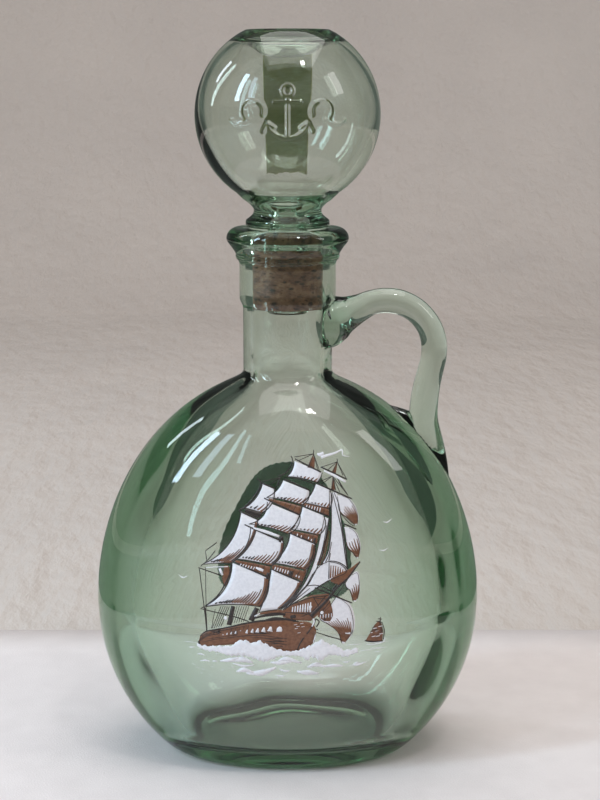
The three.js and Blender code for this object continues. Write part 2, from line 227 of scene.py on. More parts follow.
def wavy(rings, amount, phase):
    """Pressed glass is never even: slow swells along and around the skin, in millimetres."""
    angle = np.arctan2(rings[:, :, 1], rings[:, :, 0])
    z = rings[:, :, 2]
    swell = (
        0.40 * np.sin(2 * angle + z / 23 + phase)
        + 0.30 * np.sin(3 * angle - z / 15 + 2 * phase)
        + 0.18 * np.sin(7 * angle + z / 9 + 3 * phase)
        + 0.22 * np.sin(z / 6.5 + phase)
    )
    radius = np.hypot(rings[:, :, 0], rings[:, :, 1]) + 1e-9
    factor = 1 + amount * swell / radius
    out = rings.copy()
    out[:, :, 0] *= factor
    out[:, :, 1] *= factor
    return out


def punt_rings():
    share = np.linspace(0.08, 1, 12)
    heights = PUNT_RISE * (1 - share**2.4)
    return section_rings(
        heights, LAND_INNER[0] * share, LAND_INNER[1] * share, np.full(12, PLAN_EXPONENT), FLASK_SEGMENTS
    )


def heel_rings():
    turn = np.linspace(0, math.pi / 2, 9)[:-1]
    heights = HEEL * (1 - np.cos(turn))
    width, depth, exponent = flask_section(heights)
    base_width, base_depth, _ = flask_section(0)
    width = width - (base_width - LAND_OUTER[0]) * (1 - np.sin(turn))
    depth = depth - (base_depth - LAND_OUTER[1]) * (1 - np.sin(turn))
    return section_rings(heights, width, depth, exponent, FLASK_SEGMENTS)


def body_rings(heights, inset=0.0, neck_radius=NECK_RADIUS, side_inset=0.0):
    width, depth, exponent = flask_section(heights, inset, neck_radius, side_inset)
    return section_rings(heights, width, depth, exponent, FLASK_SEGMENTS)


def round_rings(profile, segments):
    profile = np.asarray(profile)
    radius, height = profile[:, 0], profile[:, 1]
    return section_rings(height, radius, radius, np.full(len(profile), 2.0), segments)


def cavity_rings(grow=0.0):
    """The inside of the flask from its floor up to the start of the neck."""
    low_width, low_depth, _ = flask_section(FLOOR_Z + FLOOR_FILLET, WALL, BORE, SIDE_THICKENING)
    floor_width = low_width - FLOOR_WIDTH_STEP
    floor_depth = low_depth - FLOOR_DEPTH_STEP
    share = np.linspace(0.1, 1, 8)[:-1]
    floor = section_rings(
        np.full(7, FLOOR_Z) + FLOOR_CROWN * (1 - share**2),
        floor_width * share,
        floor_depth * share,
        np.full(7, 2.0),
        FLASK_SEGMENTS,
    )
    turn = np.linspace(0, math.pi / 2, 13)[:-1]
    curve = section_rings(
        FLOOR_Z + FLOOR_FILLET * (1 - np.cos(turn)),
        floor_width + (low_width - floor_width) * np.sin(turn),
        floor_depth + (low_depth - floor_depth) * np.sin(turn),
        2.0 + (PLAN_EXPONENT - 2.0) * np.sin(turn) ** 2,
        FLASK_SEGMENTS,
    )
    heights = np.linspace(FLOOR_Z + FLOOR_FILLET, NECK_START_Z, 80)
    walls = body_rings(heights, WALL - grow, BORE + grow, SIDE_THICKENING)
    return np.vstack([floor, wavy(curve, 0.05, 0.7), wavy(walls, 0.9, 0.7)])


def flask_mesh():
    outside = body_rings(np.linspace(HEEL, NECK_START_Z, 96)[:-1])
    neck = round_rings(smooth_path(NECK_KNOTS, 5), FLASK_SEGMENTS)
    bore = round_rings([(BORE, z) for z in np.linspace(197, NECK_START_Z + 2, 12)], FLASK_SEGMENTS)
    land = section_rings(
        [0, 0], [LAND_INNER[0] + 1.5, LAND_OUTER[0]], [LAND_INNER[1] + 1.0, LAND_OUTER[1]],
        [PLAN_EXPONENT] * 2, FLASK_SEGMENTS,
    )
    rings = np.vstack(
        [punt_rings(), land[:1], heel_rings(), outside, neck, bore, cavity_rings()[::-1]]
    )
    return closed_loft("decanter_glass", rings, (0, 0, PUNT_RISE), (0, 0, FLOOR_Z + FLOOR_CROWN))


# Centre line of the handle in the XZ plane, from inside the neck to inside the shoulder: x, z, radius
HANDLE_PATH = [
    (10, 165, 10.2), (15, 166, 9.9), (17.5, 166.8, 9.0), (20, 168, 7.9), (23, 169.2, 6.3), (27, 171, 5.2),
    (31, 172.8, 4.75), (36, 173.7, 4.65), (42, 173, 4.65), (48, 169.9, 4.7), (52.6, 164.6, 4.7),
    (54.8, 158.5, 4.75), (54.9, 152.5, 4.8), (53.6, 146.5, 4.9), (52.4, 141, 5.0), (51.6, 135, 5.2),
    (51.4, 129, 5.5), (52.4, 123, 5.7), (54.6, 117, 5.1), (57.1, 111, 3.9), (59.3, 105.5, 2.4),
    (60.8, 101.8, 1.1),
]
HANDLE_PAD = [(37, 133.4, 0.9), (41, 130.8, 2.4), (45, 128, 3.8), (50, 124, 4.6)]


def rod_mesh(name, stations, per_span, sides):
    path = smooth_path(stations, per_span)
    centres = np.stack([path[:, 0], np.zeros(len(path)), path[:, 1]], 1)
    tangents = np.gradient(centres, axis=0)
    tangents /= np.linalg.norm(tangents, axis=1)[:, None]
    side = np.cross([0, 1, 0], tangents)
    angles = np.linspace(0, 2 * math.pi, sides, endpoint=False)
    radius = path[:, 2] * (1 + 0.012 * np.sin(np.arange(len(path)) * 0.23))
    rings = (
        centres[:, None, :]
        + radius[:, None, None] * np.cos(angles)[None, :, None] * side[:, None, :]
        + radius[:, None, None] * np.sin(angles)[None, :, None] * np.array([0, 1, 0])[None, None, :]
    )
    return closed_loft(name, rings, centres[0], centres[-1])


def boolean(target, other, operation):
    """Applies a join or a cut, and removes the other solid."""
    modifier = target.modifiers.new(operation.lower(), "BOOLEAN")
    modifier.operation = operation
    modifier.object = other
    modifier.solver = "MANIFOLD"
    with bpy.context.temp_override(object=target, active_object=target, selected_objects=[target]):
        bpy.ops.object.modifier_apply(modifier=modifier.name)
    bpy.data.objects.remove(other)
    target.data.materials.clear()


def make_decanter():
    glass = flask_mesh()
    rod = rod_mesh("handle_rod", HANDLE_PATH, 8, 56)
    boolean(rod, rod_mesh("handle_pad", HANDLE_PAD, 8, 32), "UNION")
    neck_hollow = round_rings([(BORE + 0.4, z) for z in np.linspace(NECK_START_Z + 1, LIP_Z, 8)],
                              FLASK_SEGMENTS)
    hollow = np.vstack([cavity_rings(0.4), neck_hollow])
    boolean(rod, closed_loft("hollow", hollow, (0, 0, FLOOR_Z + FLOOR_CROWN), (0, 0, LIP_Z)), "DIFFERENCE")
    boolean(glass, rod, "UNION")
    return glass


# ---- Glass: the globe stopper ----

GLOBE_SEGMENTS = 320
WAIST_RADIUS = 12.5
WAIST_Z = 207.2
COLLAR_RADIUS = 15.5
COLLAR_Z = 201.3
STEM_RADIUS = 7.45
STEM_BORE = 4.6
DISH_RADIUS = 13.6
DISH_FLOOR_Z = 265.2
RELIEF_HEIGHT = 0.55
RELIEF_HALF_WIDTH = 0.75


def arc_points(radius, from_deg, to_deg, count):
    polar = np.radians(np.linspace(from_deg, to_deg, count))
    return [(radius * math.sin(p), GLOBE_CENTRE_Z + radius * math.cos(p)) for p in polar]


def globe_profiles():
    """Outside from the middle of the dish down to the stem's end, then the inside back up."""
    dish = [(DISH_RADIUS * s, DISH_FLOOR_Z + (GLOBE_TOP_Z - 0.7 - DISH_FLOOR_Z) * s**2.6)
            for s in np.linspace(0.04, 1, 16)]
    rim = smooth_path(
        [dish[-1], (14.2, GLOBE_TOP_Z - 0.12), (15, GLOBE_TOP_Z), (16, GLOBE_TOP_Z - 0.45), (17.4, 271.2)], 5
    )
    outside = arc_points(GLOBE_RADIUS, 31.5, 146, 190)
    lower = smooth_path(
        [outside[-1], (16.6, 211.6), (14.3, 209.9), (12.9, 208.4), (WAIST_RADIUS, WAIST_Z), (12.9, 205.9),
         (14.2, 204.7), (15.3, 203.8), (COLLAR_RADIUS, 202.8), (COLLAR_RADIUS - 0.1, 201.9),
         (14.9, COLLAR_Z + 0.1), (13.6, COLLAR_Z), (9, COLLAR_Z), (7.9, COLLAR_Z - 0.1),
         (STEM_RADIUS, COLLAR_Z - 0.7)], 5
    )
    stem = [(STEM_RADIUS, z) for z in np.linspace(COLLAR_Z - 2, STEM_END_Z + 1.6, 14)]
    tip = smooth_path(
        [stem[-1], (7.25, STEM_END_Z + 0.6), (6.6, STEM_END_Z + 0.05), (5.6, STEM_END_Z),
         (4.8, STEM_END_Z + 0.4), (STEM_BORE, STEM_END_Z + 1.4)], 4
    )
    bore = [(STEM_BORE, z) for z in np.linspace(STEM_END_Z + 3, WAIST_Z - 4, 16)]
    inside_radius = GLOBE_RADIUS - GLOBE_WALL
    inside = arc_points(inside_radius, 148, 38, 90)
    throat = smooth_path([bore[-1], (4.9, WAIST_Z - 1), (6.6, WAIST_Z + 1.6), (9.6, WAIST_Z + 4),
                          (13.2, 213.6),
                          inside[0]], 5)
    crown = smooth_path(
        [inside[-1], (17.6, 266.9), (15.6, 267.2), (13, 266.2), (9.5, 264), (5, 262.6), (0.8, 262.2)], 5
    )
    return (
        np.vstack([dish[:-1], rim[:-1], outside[:-1], lower, stem[:-1], tip]),
        np.vstack([bore[:-1], throat[:-1], inside[:-1], crown]),
    )


def circle_stroke(x, z, radius, from_deg=0, to_deg=360, count=24):
    turn = np.radians(np.linspace(from_deg, to_deg, count))
    return np.stack([x + radius * np.cos(turn), z + radius * np.sin(turn)], 1)


def relief_strokes():
    """A plain anchor between two rolling waves, drawn in millimetres about the middle of the relief."""
    strokes = [
        circle_stroke(0, 7.4, 1.9),
        [(0, 5.5), (0, -8.6)],
        [(-4.6, 3.6), (4.6, 3.6)],
        circle_stroke(0, -1.2, 7.4, 200, 340),
        [(-8.4, -6.2), (-6.9, -3.6), (-4.6, -5)],
        [(8.4, -6.2), (6.9, -3.6), (4.6, -5)],
    ]
    for side in (-1, 1):
        wave = circle_stroke(11.6, 0.6, 3.4, -60, 200, 18)
        tail = circle_stroke(16.8, -1.0, 3.0, 150, 330, 14)
        strokes.append(np.asarray(wave) * [side, 1])
        strokes.append(np.asarray(tail) * [side, 1])
    return strokes


def distance_to_strokes(x, z, strokes):
    best = np.full(x.shape, 1e9)
    for stroke in strokes:
        stroke = np.asarray(stroke, float)
        for (x0, z0), (x1, z1) in zip(stroke[:-1], stroke[1:]):
            length2 = (x1 - x0) ** 2 + (z1 - z0) ** 2
            t = np.clip(((x - x0) * (x1 - x0) + (z - z0) * (z1 - z0)) / length2, 0, 1)
            best = np.minimum(best, np.hypot(x - x0 - t * (x1 - x0), z - z0 - t * (z1 - z0)))
    return best


def spun_rings(profile, angles):
    rings = np.zeros((len(profile), len(angles), 3))
    rings[:, :, 0] = profile[:, 0, None] * np.cos(angles)
    rings[:, :, 1] = profile[:, 0, None] * np.sin(angles)
    rings[:, :, 2] = profile[:, 1, None]
    return rings


def make_globe():
    outside, inside = globe_profiles()
    even = np.linspace(-math.pi, math.pi, GLOBE_SEGMENTS, endpoint=False)
    angles = even - 0.55 * np.sin(even) - math.pi / 2  # closer together at the front
    outer = spun_rings(outside, angles)
    centre = np.array([0, 0, GLOBE_CENTRE_Z])
    front = (outer[:, :, 1] < 0) & (np.abs(outer[:, :, 2] - GLOBE_CENTRE_Z) < 22)
    away = distance_to_strokes(outer[front][:, 0], outer[front][:, 2] - GLOBE_CENTRE_Z - 1.5,
                               relief_strokes())
    lift = RELIEF_HEIGHT * (1 - smoothstep(away, 0.15, RELIEF_HALF_WIDTH + 0.35))
    outward = (outer[front] - centre) / np.linalg.norm(outer[front] - centre, axis=1)[:, None]
    outer[front] += outward * lift[:, None]
    inner = spun_rings(inside, angles)
    inner[18:] = wavy(inner[18:], 0.45, 2.1)
    rings = np.vstack([outer, inner])[::-1]
    top_inside = (0, 0, inside[-1, 1])
    top_outside = (0, 0, outside[0, 1])
    return closed_loft("stopper_glass", rings, top_inside, top_outside)


# ---- Cork ----

CORK_SEGMENTS = 240
CORK_HOLE = 7.6


def make_cork():
    """A sleeve of cork with dark pores sunk into its side, pressed into the bore."""
    random = np.random.default_rng(SEED)
    low, high = CORK_LOW[2], CORK_HIGH[2]
    side = smooth_path(
        [(CORK_HOLE, low), (11.6, low), (12.35, low + 0.25), (12.75, low + 0.9), (12.95, low + 4),
         (13.1, high - 8), (13.18, high - 0.9), (12.8, high - 0.2), (12.2, high), (CORK_HOLE, high)], 9
    )
    angles = np.linspace(0, 2 * math.pi, CORK_SEGMENTS, endpoint=False)
    rings = spun_rings(side, angles)
    angle = np.arctan2(rings[:, :, 1], rings[:, :, 0])
    height = rings[:, :, 2]
    depth = 0.05 * np.sin(9 * angle + height) + 0.05 * np.sin(17 * angle - 2 * height)
    for _ in range(95):
        centre = random.uniform(-math.pi, math.pi)
        level = random.uniform(low, high)
        long, tall = random.uniform(0.5, 1.9), random.uniform(0.25, 0.55)
        tilt = random.uniform(-0.5, 0.5)
        around = np.angle(np.exp(1j * (angle - centre))) * 13
        up = height - level
        along, across = around + tilt * up, up - tilt * around
        depth += random.uniform(0.3, 0.9) * np.exp(-((along / long) ** 2) - (across / tall) ** 2)
    radius = np.hypot(rings[:, :, 0], rings[:, :, 1])
    outside = smoothstep(radius, 9, 12)
    rings[:, :, 0] -= np.cos(angle) * depth * outside
    rings[:, :, 1] -= np.sin(angle) * depth * outside
    bottom_chip = outside * (height < low + 1.2) * 0.35 * np.sin(5 * angle + 1)
    rings[:, :, 2] += np.where(height < low + 1.2, np.maximum(0, bottom_chip), 0)
    count = len(side)
    points = rings.reshape(-1, 3)
    faces = loft_faces(count, CORK_SEGMENTS)
    last = (count - 1) * CORK_SEGMENTS
    for i in range(CORK_SEGMENTS):
        j = (i + 1) % CORK_SEGMENTS
        faces.append((last + i, last + j, j, i))
    return mesh_object("cork_sleeve", points, faces)


# ---- Paper: seal strip and back label ----


def sheet_solid(name, low, high, faces, smooth=True):
    """Closes a thin sheet: low and high are the same points on its two sides, low nearest the glass."""
    count = len(low)
    points = np.vstack([low, high])
    solid = [tuple(reversed(face)) for face in faces]
    solid += [tuple(i + count for i in face) for face in faces]
    edges = {}
    for face in faces:
        for a, b in zip(face, face[1:] + face[:1]):
            edges[(a, b)] = True
    for a, b in edges:
        if (b, a) not in edges:
            solid.append((a, b, b + count, a + count))
    return mesh_object(name, points, solid, smooth)


def grid_faces(rows, columns):
    faces = []
    for row in range(rows - 1):
        for column in range(columns - 1):
            a = row * columns + column
            faces.append((a, a + 1, a + columns + 1, a + columns))
    return faces


def make_seal_strip():
    """A strip of thin paper down the back of the globe, torn at both ends."""
    random = np.random.default_rng(SEED + 1)
    width = STRIP_HIGH[0] - STRIP_LOW[0]
    rows, columns = 120, 30
    tear = np.cumsum(random.normal(0, 0.35, (2, columns)), axis=1)
    tear -= tear.mean(axis=1, keepdims=True)
    polar_from = math.radians(29) + tear[0] * 0.012
    polar_to = math.radians(136) + tear[1] * 0.02
    edge = 0.18 * np.sin(np.linspace(0, 9, rows)) + random.normal(0, 0.04, rows)
    low, high = [], []
    for row in range(rows):
        share = row / (rows - 1)
        narrowing = 1 - 0.10 * share**2
        for column in range(columns):
            across = (column / (columns - 1) - 0.5) * (width * narrowing + edge[row])
            polar = polar_from[column] + (polar_to[column] - polar_from[column]) * share
            crease = 0.05 * math.sin(polar * 38 + across * 0.4) * math.sin(across * 0.7)
            for out, lift in ((low, 0.08), (high, 0.2)):
                radius = GLOBE_RADIUS + lift + crease + 0.05
                ring = radius * math.sin(polar)
                depth = math.sqrt(max(ring * ring - across * across, 0.01))
                out.append((across + 0.3, depth, GLOBE_CENTRE_Z + radius * math.cos(polar)))
    faces = [tuple(reversed(face)) for face in grid_faces(rows, columns)]
    return sheet_solid("seal_paper_strip", np.array(low), np.array(high), [tuple(f) for f in faces])


LABEL_WIDEST_Z = 56.0
LABEL_WIDER = 1.0
LABEL_BOTTOM_EXPONENT = 2.8
LABEL_MIDDLE_RISE = 8.0
LABEL_SHIFT = -1.2


def label_edge(count, shrink=0.0, scallop=0.0):
    turn = np.linspace(0, 2 * math.pi, count, endpoint=False)
    across, up = np.cos(turn), np.sin(turn)
    power = np.where(up > 0, 1, 2 / LABEL_BOTTOM_EXPONENT)
    top, bottom = LABEL_HIGH[2] - LABEL_WIDEST_Z, LABEL_WIDEST_Z - LABEL_LOW[2]
    reach = np.where(up > 0, top, bottom) - shrink + scallop * np.cos(turn * 64)
    half = LABEL_HIGH[0] + LABEL_WIDER - shrink + scallop * np.cos(turn * 64)
    x = LABEL_SHIFT + half * np.sign(across) * np.abs(across) ** power
    z = LABEL_WIDEST_Z + reach * np.sign(up) * np.abs(up) ** power
    return np.stack([x, z], 1)


def disc_patch(edge, rings):
    """Points and faces of a flat patch from its edge to its middle."""
    middle = np.array([LABEL_SHIFT, LABEL_WIDEST_Z + LABEL_MIDDLE_RISE])
    count = len(edge)
    levels = [middle + (edge - middle) * share for share in np.linspace(1, 0.04, rings)]
    points = np.vstack(levels + [middle[None]])
    faces = []
    for ring in range(rings - 1):
        for i in range(count):
            j = (i + 1) % count
            faces.append((ring * count + i, ring * count + j, (ring + 1) * count + j, (ring + 1) * count + i))
    for i in range(count):
        faces.append(((rings - 1) * count + i, (rings - 1) * count + (i + 1) % count, rings * count))
    return points, faces


def make_back_label():
    points, faces = disc_patch(label_edge(256, 0.3, 0.22), 20)
    low = on_flask(points, 0.05, 1)
    high = on_flask(points, 0.19, 1)
    return sheet_solid("back_label_paper", low, high, [tuple(reversed(f)) for f in faces])


# ---- The fired print: thin layers of enamel on the front ----
# Every point is x, z in millimetres on the front of the flask

LAYER_LIFT = {"base": 0.02, "brown": 0.055, "dark": 0.09, "top": 0.125}
LAYER_THICKNESS = 0.025
LIFT_STEP = 0.0008
MAX_EDGE = 2.2


class Enamel:
    """Flat shapes of one colour, gathered and then laid on the glass as one thin closed mesh."""

    def __init__(self, name, layer, side=-1):
        self.name, self.layer, self.side = name, layer, side
        self.points, self.faces, self.lifts = [], [], []

    def patch(self, points, faces):
        first = len(self.points)
        lift = LAYER_LIFT[self.layer] + LIFT_STEP * (first % 9)
        self.points.extend(tuple(p) for p in np.asarray(points, float))
        self.lifts.extend([lift] * len(points))
        turned = []
        for face in faces:
            corners = np.asarray([self.points[first + i] for i in face])
            ahead = np.roll(corners, -1, axis=0)
            area = (corners[:, 0] * ahead[:, 1] - ahead[:, 0] * corners[:, 1]).sum()
            turned.append(tuple(first + i for i in (face if area > 0 else face[::-1])))
        self.faces.extend(turned)

    def grid(self, grid):
        """A patch from a grid of points (rows, columns, 2)."""
        rows, columns = grid.shape[:2]
        self.patch(grid.reshape(-1, 2), grid_faces(rows, columns))

    def stroke(self, path, width, taper=(1.0, 1.0)):
        """A ribbon along a path: width in the middle, times taper at its two ends."""
        path = np.asarray(path, float)
        if len(path) > 2:
            path = smooth_path(path, 4)
        steps = [path[0]]
        for a, b in zip(path[:-1], path[1:]):
            count = max(1, math.ceil(np.hypot(*(b - a)) / MAX_EDGE))
            steps.extend(a + (b - a) * (k + 1) / count for k in range(count))
        path = np.array(steps)
        tangent = np.gradient(path, axis=0)
        tangent /= np.linalg.norm(tangent, axis=1)[:, None] + 1e-12
        sideways = np.stack([-tangent[:, 1], tangent[:, 0]], 1)
        share = np.linspace(0, 1, len(path))
        scale = np.interp(share, [0, 0.5, 1], [taper[0], 1, taper[1]])
        half = (sideways * (width / 2 * np.maximum(scale, 0.08))[:, None])
        self.grid(np.stack([path - half, path + half], 1))

    def blob(self, outline, middle=None):
        """A filled shape whose outline is seen whole from its middle."""
        outline = np.asarray(outline, float)
        middle = outline.mean(axis=0) if middle is None else np.asarray(middle, float)
        reach = np.hypot(*(outline - middle).T).max()
        rings = max(2, math.ceil(reach / MAX_EDGE))
        count = len(outline)
        levels = [middle + (outline - middle) * share for share in np.linspace(1, 0, rings, endpoint=False)]
        faces = []
        for ring in range(rings - 1):
            for i in range(count):
                j = (i + 1) % count
                faces.append((ring * count + i, ring * count + j, (ring + 1) * count + j,
                              (ring + 1) * count + i))
        last = (rings - 1) * count
        faces += [(last + i, last + (i + 1) % count, rings * count) for i in range(count)]
        self.patch(np.vstack(levels + [middle[None]]), faces)

    def make(self):
        lifts = np.array(self.lifts)[:, None]
        low = on_flask(self.points, lifts, self.side)
        high = on_flask(self.points, lifts + LAYER_THICKNESS, self.side)
        faces = self.faces if self.side < 0 else [face[::-1] for face in self.faces]
        return sheet_solid(self.name, low, high, faces)


def edge_curve(start, end, bow, t):
    """A point on an edge that bows sideways, to the right of its direction for a negative bow."""
    start, end = np.asarray(start, float), np.asarray(end, float)
    along = end - start
    lift = 4 * bow * t * (1 - t)
    return start + along * t + lift * np.array([along[1], -along[0]])


class Sail:
    """A four-cornered sail: u runs from its left leech to its right, v from its head to its foot."""

    def __init__(self, head_left, head_right, foot_right, foot_left, head=0.0, right=0.08, left=0.1,
                 foot=0.05):
        self.corners = [np.asarray(p, float) for p in (head_left, head_right, foot_right, foot_left)]
        self.head, self.right, self.left, self.foot = head, right, left, foot

    def at(self, u, v):
        head_left, head_right, foot_right, foot_left = self.corners
        top = edge_curve(head_left, head_right, self.head, u)
        bottom = edge_curve(foot_left, foot_right, -self.foot, u)
        left = edge_curve(head_left, foot_left, -self.left, v)
        right = edge_curve(head_right, foot_right, -self.right, v)
        flat = (
            (1 - u) * (1 - v) * head_left + u * (1 - v) * head_right
            + u * v * foot_right + (1 - u) * v * foot_left
        )
        return (1 - v) * top + v * bottom + (1 - u) * left + u * right - flat

    def grid(self, u0=0.0, u1=1.0, v0=0.0, v1=1.0, columns=9, rows=9):
        return np.array(
            [[self.at(u, v) for u in np.linspace(u0, u1, columns)] for v in np.linspace(v0, v1, rows)]
        )

    def line(self, u0, v0, u1, v1, count=6):
        return [self.at(u0 + (u1 - u0) * t, v0 + (v1 - v0) * t) for t in np.linspace(0, 1, count)]


# Corners of each square sail: head left, head right, foot right, foot left; then the bows of its leeches and
# foot, how far up its longest hatch stroke reaches, and the width of the shaded band on its right leech
SQUARE_SAILS = {
    "mizzen_topgallant": [(-8.9, 112.6), (-4.8, 110.9), (-9.2, 102.6), (-15.2, 104.2), 0.10, 0.16, 0.02,
                          0.62, 0.0],
    "mizzen_topsail": [(-16.6, 102.4), (-10.6, 100), (-20.4, 84.2), (-30.4, 83.2), 0.13, 0.12, 0.03, 0.56,
                       0.15],
    "main_royal": [(2.5, 120.6), (12.2, 116.6), (10.4, 113.2), (0.0, 115.3), 0.12, 0.10, 0.04, 0.46, 0.0],
    "main_topgallant": [(-1.5, 113.9), (7.7, 110.3), (5.0, 105.4), (-7.2, 108.0), 0.10, 0.16, 0.04, 0.56,
                        0.0],
    "main_upper_topsail": [(-6.9, 106.2), (4.3, 101.6), (0.2, 95.2), (-13.4, 98.5), 0.18, 0.16, 0.04, 0.56,
                           0.0],
    "main_lower_topsail": [(-12.9, 97.0), (-1.5, 92.2), (-5.6, 83.6), (-18.8, 85.9), 0.12, 0.14, 0.03, 0.62,
                           0.08],
    "main_course": [(-19.7, 84.2), (-6.8, 79.0), (-9.9, 68.4), (-29.7, 67.7), 0.14, 0.10, 0.05, 0.62, 0.13],
    "fore_royal": [(10.1, 112.6), (14.9, 110.6), (14.9, 103.9), (5.5, 106.3), 0.10, 0.14, 0.02, 0.36, 0.0],
    "fore_topgallant": [(5.4, 104.6), (12.8, 101.5), (11.1, 94.6), (1.4, 96.8), 0.08, 0.20, 0.03, 0.42, 0.0],
    "fore_topsail": [(1.0, 95.1), (9.8, 91.5), (6.4, 82.0), (-5.4, 84.7), 0.12, 0.14, 0.03, 0.46, 0.14],
    "fore_course": [(-5.7, 82.0), (4.8, 77.6), (-3.5, 67.3), (-10.2, 66.4), 0.04, 0.12, 0.02, 0.0, 0.10],
}
# Yards: dark spars along the heads, each from its left end to its right end
YARDS = [
    [(2.6, 121.3), (12, 116.6)], [(11.9, 118.4), (21.3, 113.8)], [(-1.3, 114.4), (8.4, 110.2)],
    [(-9.5, 113.1), (-4.3, 111)], [(11, 112.6), (23.1, 107)], [(-8.4, 107.7), (4.4, 101.8)],
    [(4.8, 105.3), (14.9, 101.1)], [(-17.5, 103.1), (-10.3, 100)], [(-15.4, 98.2), (-1.4, 92.2)],
    [(0.6, 95.5), (10.4, 91.3)], [(-19.8, 84.9), (-6.3, 78.9)], [(-6, 82.4), (5.1, 77.5)],
    [(19.8, 98.5), (24.7, 96.2)], [(9.8, 75.4), (23.3, 69.2)],
]
# Brown undersides between a sail's foot and the yard below it: upper edge, then lower edge
UNDERSIDES = [
    [(-6.8, 107.7), (-0.8, 106.4), (5, 104.9)], [(-6.6, 106.6), (-1, 104.2), (4.3, 101.9)],
    [(5.6, 106), (10, 105.2), (14.8, 103.7)], [(5.8, 105.2), (10.2, 103.2), (14.8, 101.4)],
    [(0.8, 96.4), (6, 95.4), (11, 94.4)], [(1.0, 95.5), (6, 93.4), (10.6, 91.6)],
    [(-19.2, 85.4), (-12.4, 84.4), (-6.2, 83.2)], [(-18.6, 84.5), (-12.4, 81.9), (-6.6, 79.6)],
    [(-5.8, 84.1), (0.4, 83), (6.4, 81.4)], [(-5.6, 82.5), (0.2, 80), (5.4, 77.9)],
    [(-15.4, 103.8), (-12, 103.2), (-9, 102.4)], [(-15.2, 102.6), (-12.6, 101.4), (-10.2, 100.3)],
]
STUDDING_SAILS = {
    "upper": ([(17.8, 108.6), (21.6, 107.6), (24, 105), (25.2, 102), (25.5, 99.6), (24.7, 97.6)],
              [(17.8, 108.6), (18.2, 105.4), (18.4, 103.4), (19.4, 101.8), (21.8, 100), (24.2, 97.6)]),
    "middle": ([(20.3, 97.2), (23, 96.6), (25, 94.6), (26.1, 91.4), (26.2, 88.4), (25.1, 85.5)],
               [(20.3, 97.2), (20.8, 93.6), (21.2, 90.6), (22, 89), (23.4, 88), (24.8, 85.8)]),
    "lower": ([(22, 78.4), (24.4, 80.8), (25.7, 80), (26.1, 76), (25.9, 72.6), (24.7, 69.6)],
              [(21.8, 78.2), (20.8, 76.6), (21.2, 75.2), (22.4, 74), (23, 72.4), (23.8, 69.8)]),
    "water": ([(17.6, 71.9), (21, 70.2), (23.2, 67.8), (24.4, 62.6), (23.6, 57.6), (20.4, 53.6)],
              [(15.9, 69), (13.4, 66.4), (11.4, 64), (15.4, 61), (18.4, 58.2), (19.7, 54)]),
}
JIBS = {
    "outer": ([(16.6, 109.6), (17.8, 109), (18.8, 102), (19.8, 96), (20.9, 89), (21.6, 82)],
              [(15.6, 109.6), (15.7, 101), (15.4, 94), (14.4, 88), (13, 85), (12, 83.6)]),
    "inner": ([(14.7, 100.4), (13.2, 91), (11.4, 84.4), (8, 78), (2.4, 70.6), (-0.4, 67.8)],
              [(13.3, 101), (11.2, 92), (9, 83.4), (5.2, 75.6), (0.2, 69.4), (-2.2, 67.5)]),
    "fore": ([(14.6, 84.9), (20.6, 83), (20.8, 80.4), (15.1, 78.2), (12.4, 76.4), (9.6, 74.8)],
             [(12, 83.8), (10.2, 82.4), (7.6, 77), (6.4, 75.9), (4.2, 73.4), (0.6, 68.8)]),
}
SHEER = [(-32.4, 54.2), (-30.4, 57.6), (-22, 59.9), (-15, 61.8), (-9, 62.9), (-2, 63.5), (3, 62.9), (7, 62.7),
         (9.4, 61.4), (10.4, 59.2)]
KEEL = [(-32, 52.6), (-30, 52.2), (-24.6, 52.9), (-19, 53.6), (-14, 54), (-8, 53.4), (-2.4, 51.6), (3, 51.3),
        (7.4, 52.9), (9.7, 54.8)]
CREST = [(-33, 52.8), (-30, 52), (-25, 52.3), (-20, 52.9), (-18.6, 54.4), (-15.6, 55), (-12.4, 53.9),
         (-10.4, 55),
         (-7, 53.2), (-2.2, 51.4), (3, 51.2), (8.4, 53.2), (12.2, 55.3), (15, 53.4), (17.2, 53.2), (20.6, 51),
         (25.8, 51.6)]
TROUGH = [(-33, 52.2), (-30, 51.1), (-26, 50.7), (-22, 49.7), (-15, 49.5), (-9.6, 47.9), (-7.2, 47.7),
          (-3, 49.6),
          (2, 49.9), (5, 49.6), (7.2, 48), (8.8, 49.6), (12.2, 47.9), (14.6, 49.8), (17.6, 49.8),
          (21.4, 49.2),
          (25.4, 50.4)]
# Brush strokes of foam that make up each wave: its points, and its widths in the middle
WAVES = [
    [([(-24.6, 46.9), (-21, 47.5), (-17.6, 48.6)], 1.3), ([(-22, 47), (-16.4, 47.9), (-12.6, 46.7)], 1.8)],
    [([(-6.2, 47), (-2.8, 46.8), (1.4, 47.2)], 1.3), ([(-3.4, 47.4), (-0.4, 48.4), (5, 46.7)], 1.5)],
    [([(7.2, 45.1), (10.4, 46.1), (14, 45)], 1.4), ([(12.2, 45.2), (16.4, 45.5), (20.2, 45.3)], 1.1)],
    [([(-18.6, 43), (-16, 43.9), (-12.4, 42.9)], 1.6), ([(-15, 42.6), (-9.4, 42.9), (-4.2, 45)], 2.0)],
    [([(3.4, 43.5), (7, 42.9), (11.4, 42.6)], 1.5), ([(4.8, 43.5), (8, 43.4), (10.8, 42.4)], 1.1)],
]
GULLS = [
    [(-39.6, 78.6), (-38, 77.6), (-36.2, 78.4)], [(34.4, 98.2), (36, 97.8), (37.8, 99)],
    [(33, 88.2), (34.8, 87.8), (36.4, 88.6)],
]
BACKSTAY = [(-31.9, 81.8), (-30.2, 67), (-29.3, 57.8)]
BOWSPRIT = [(8.4, 64.6), (14.4, 70.8), (18, 75.4), (21.6, 78.4), (26.1, 84.4)]
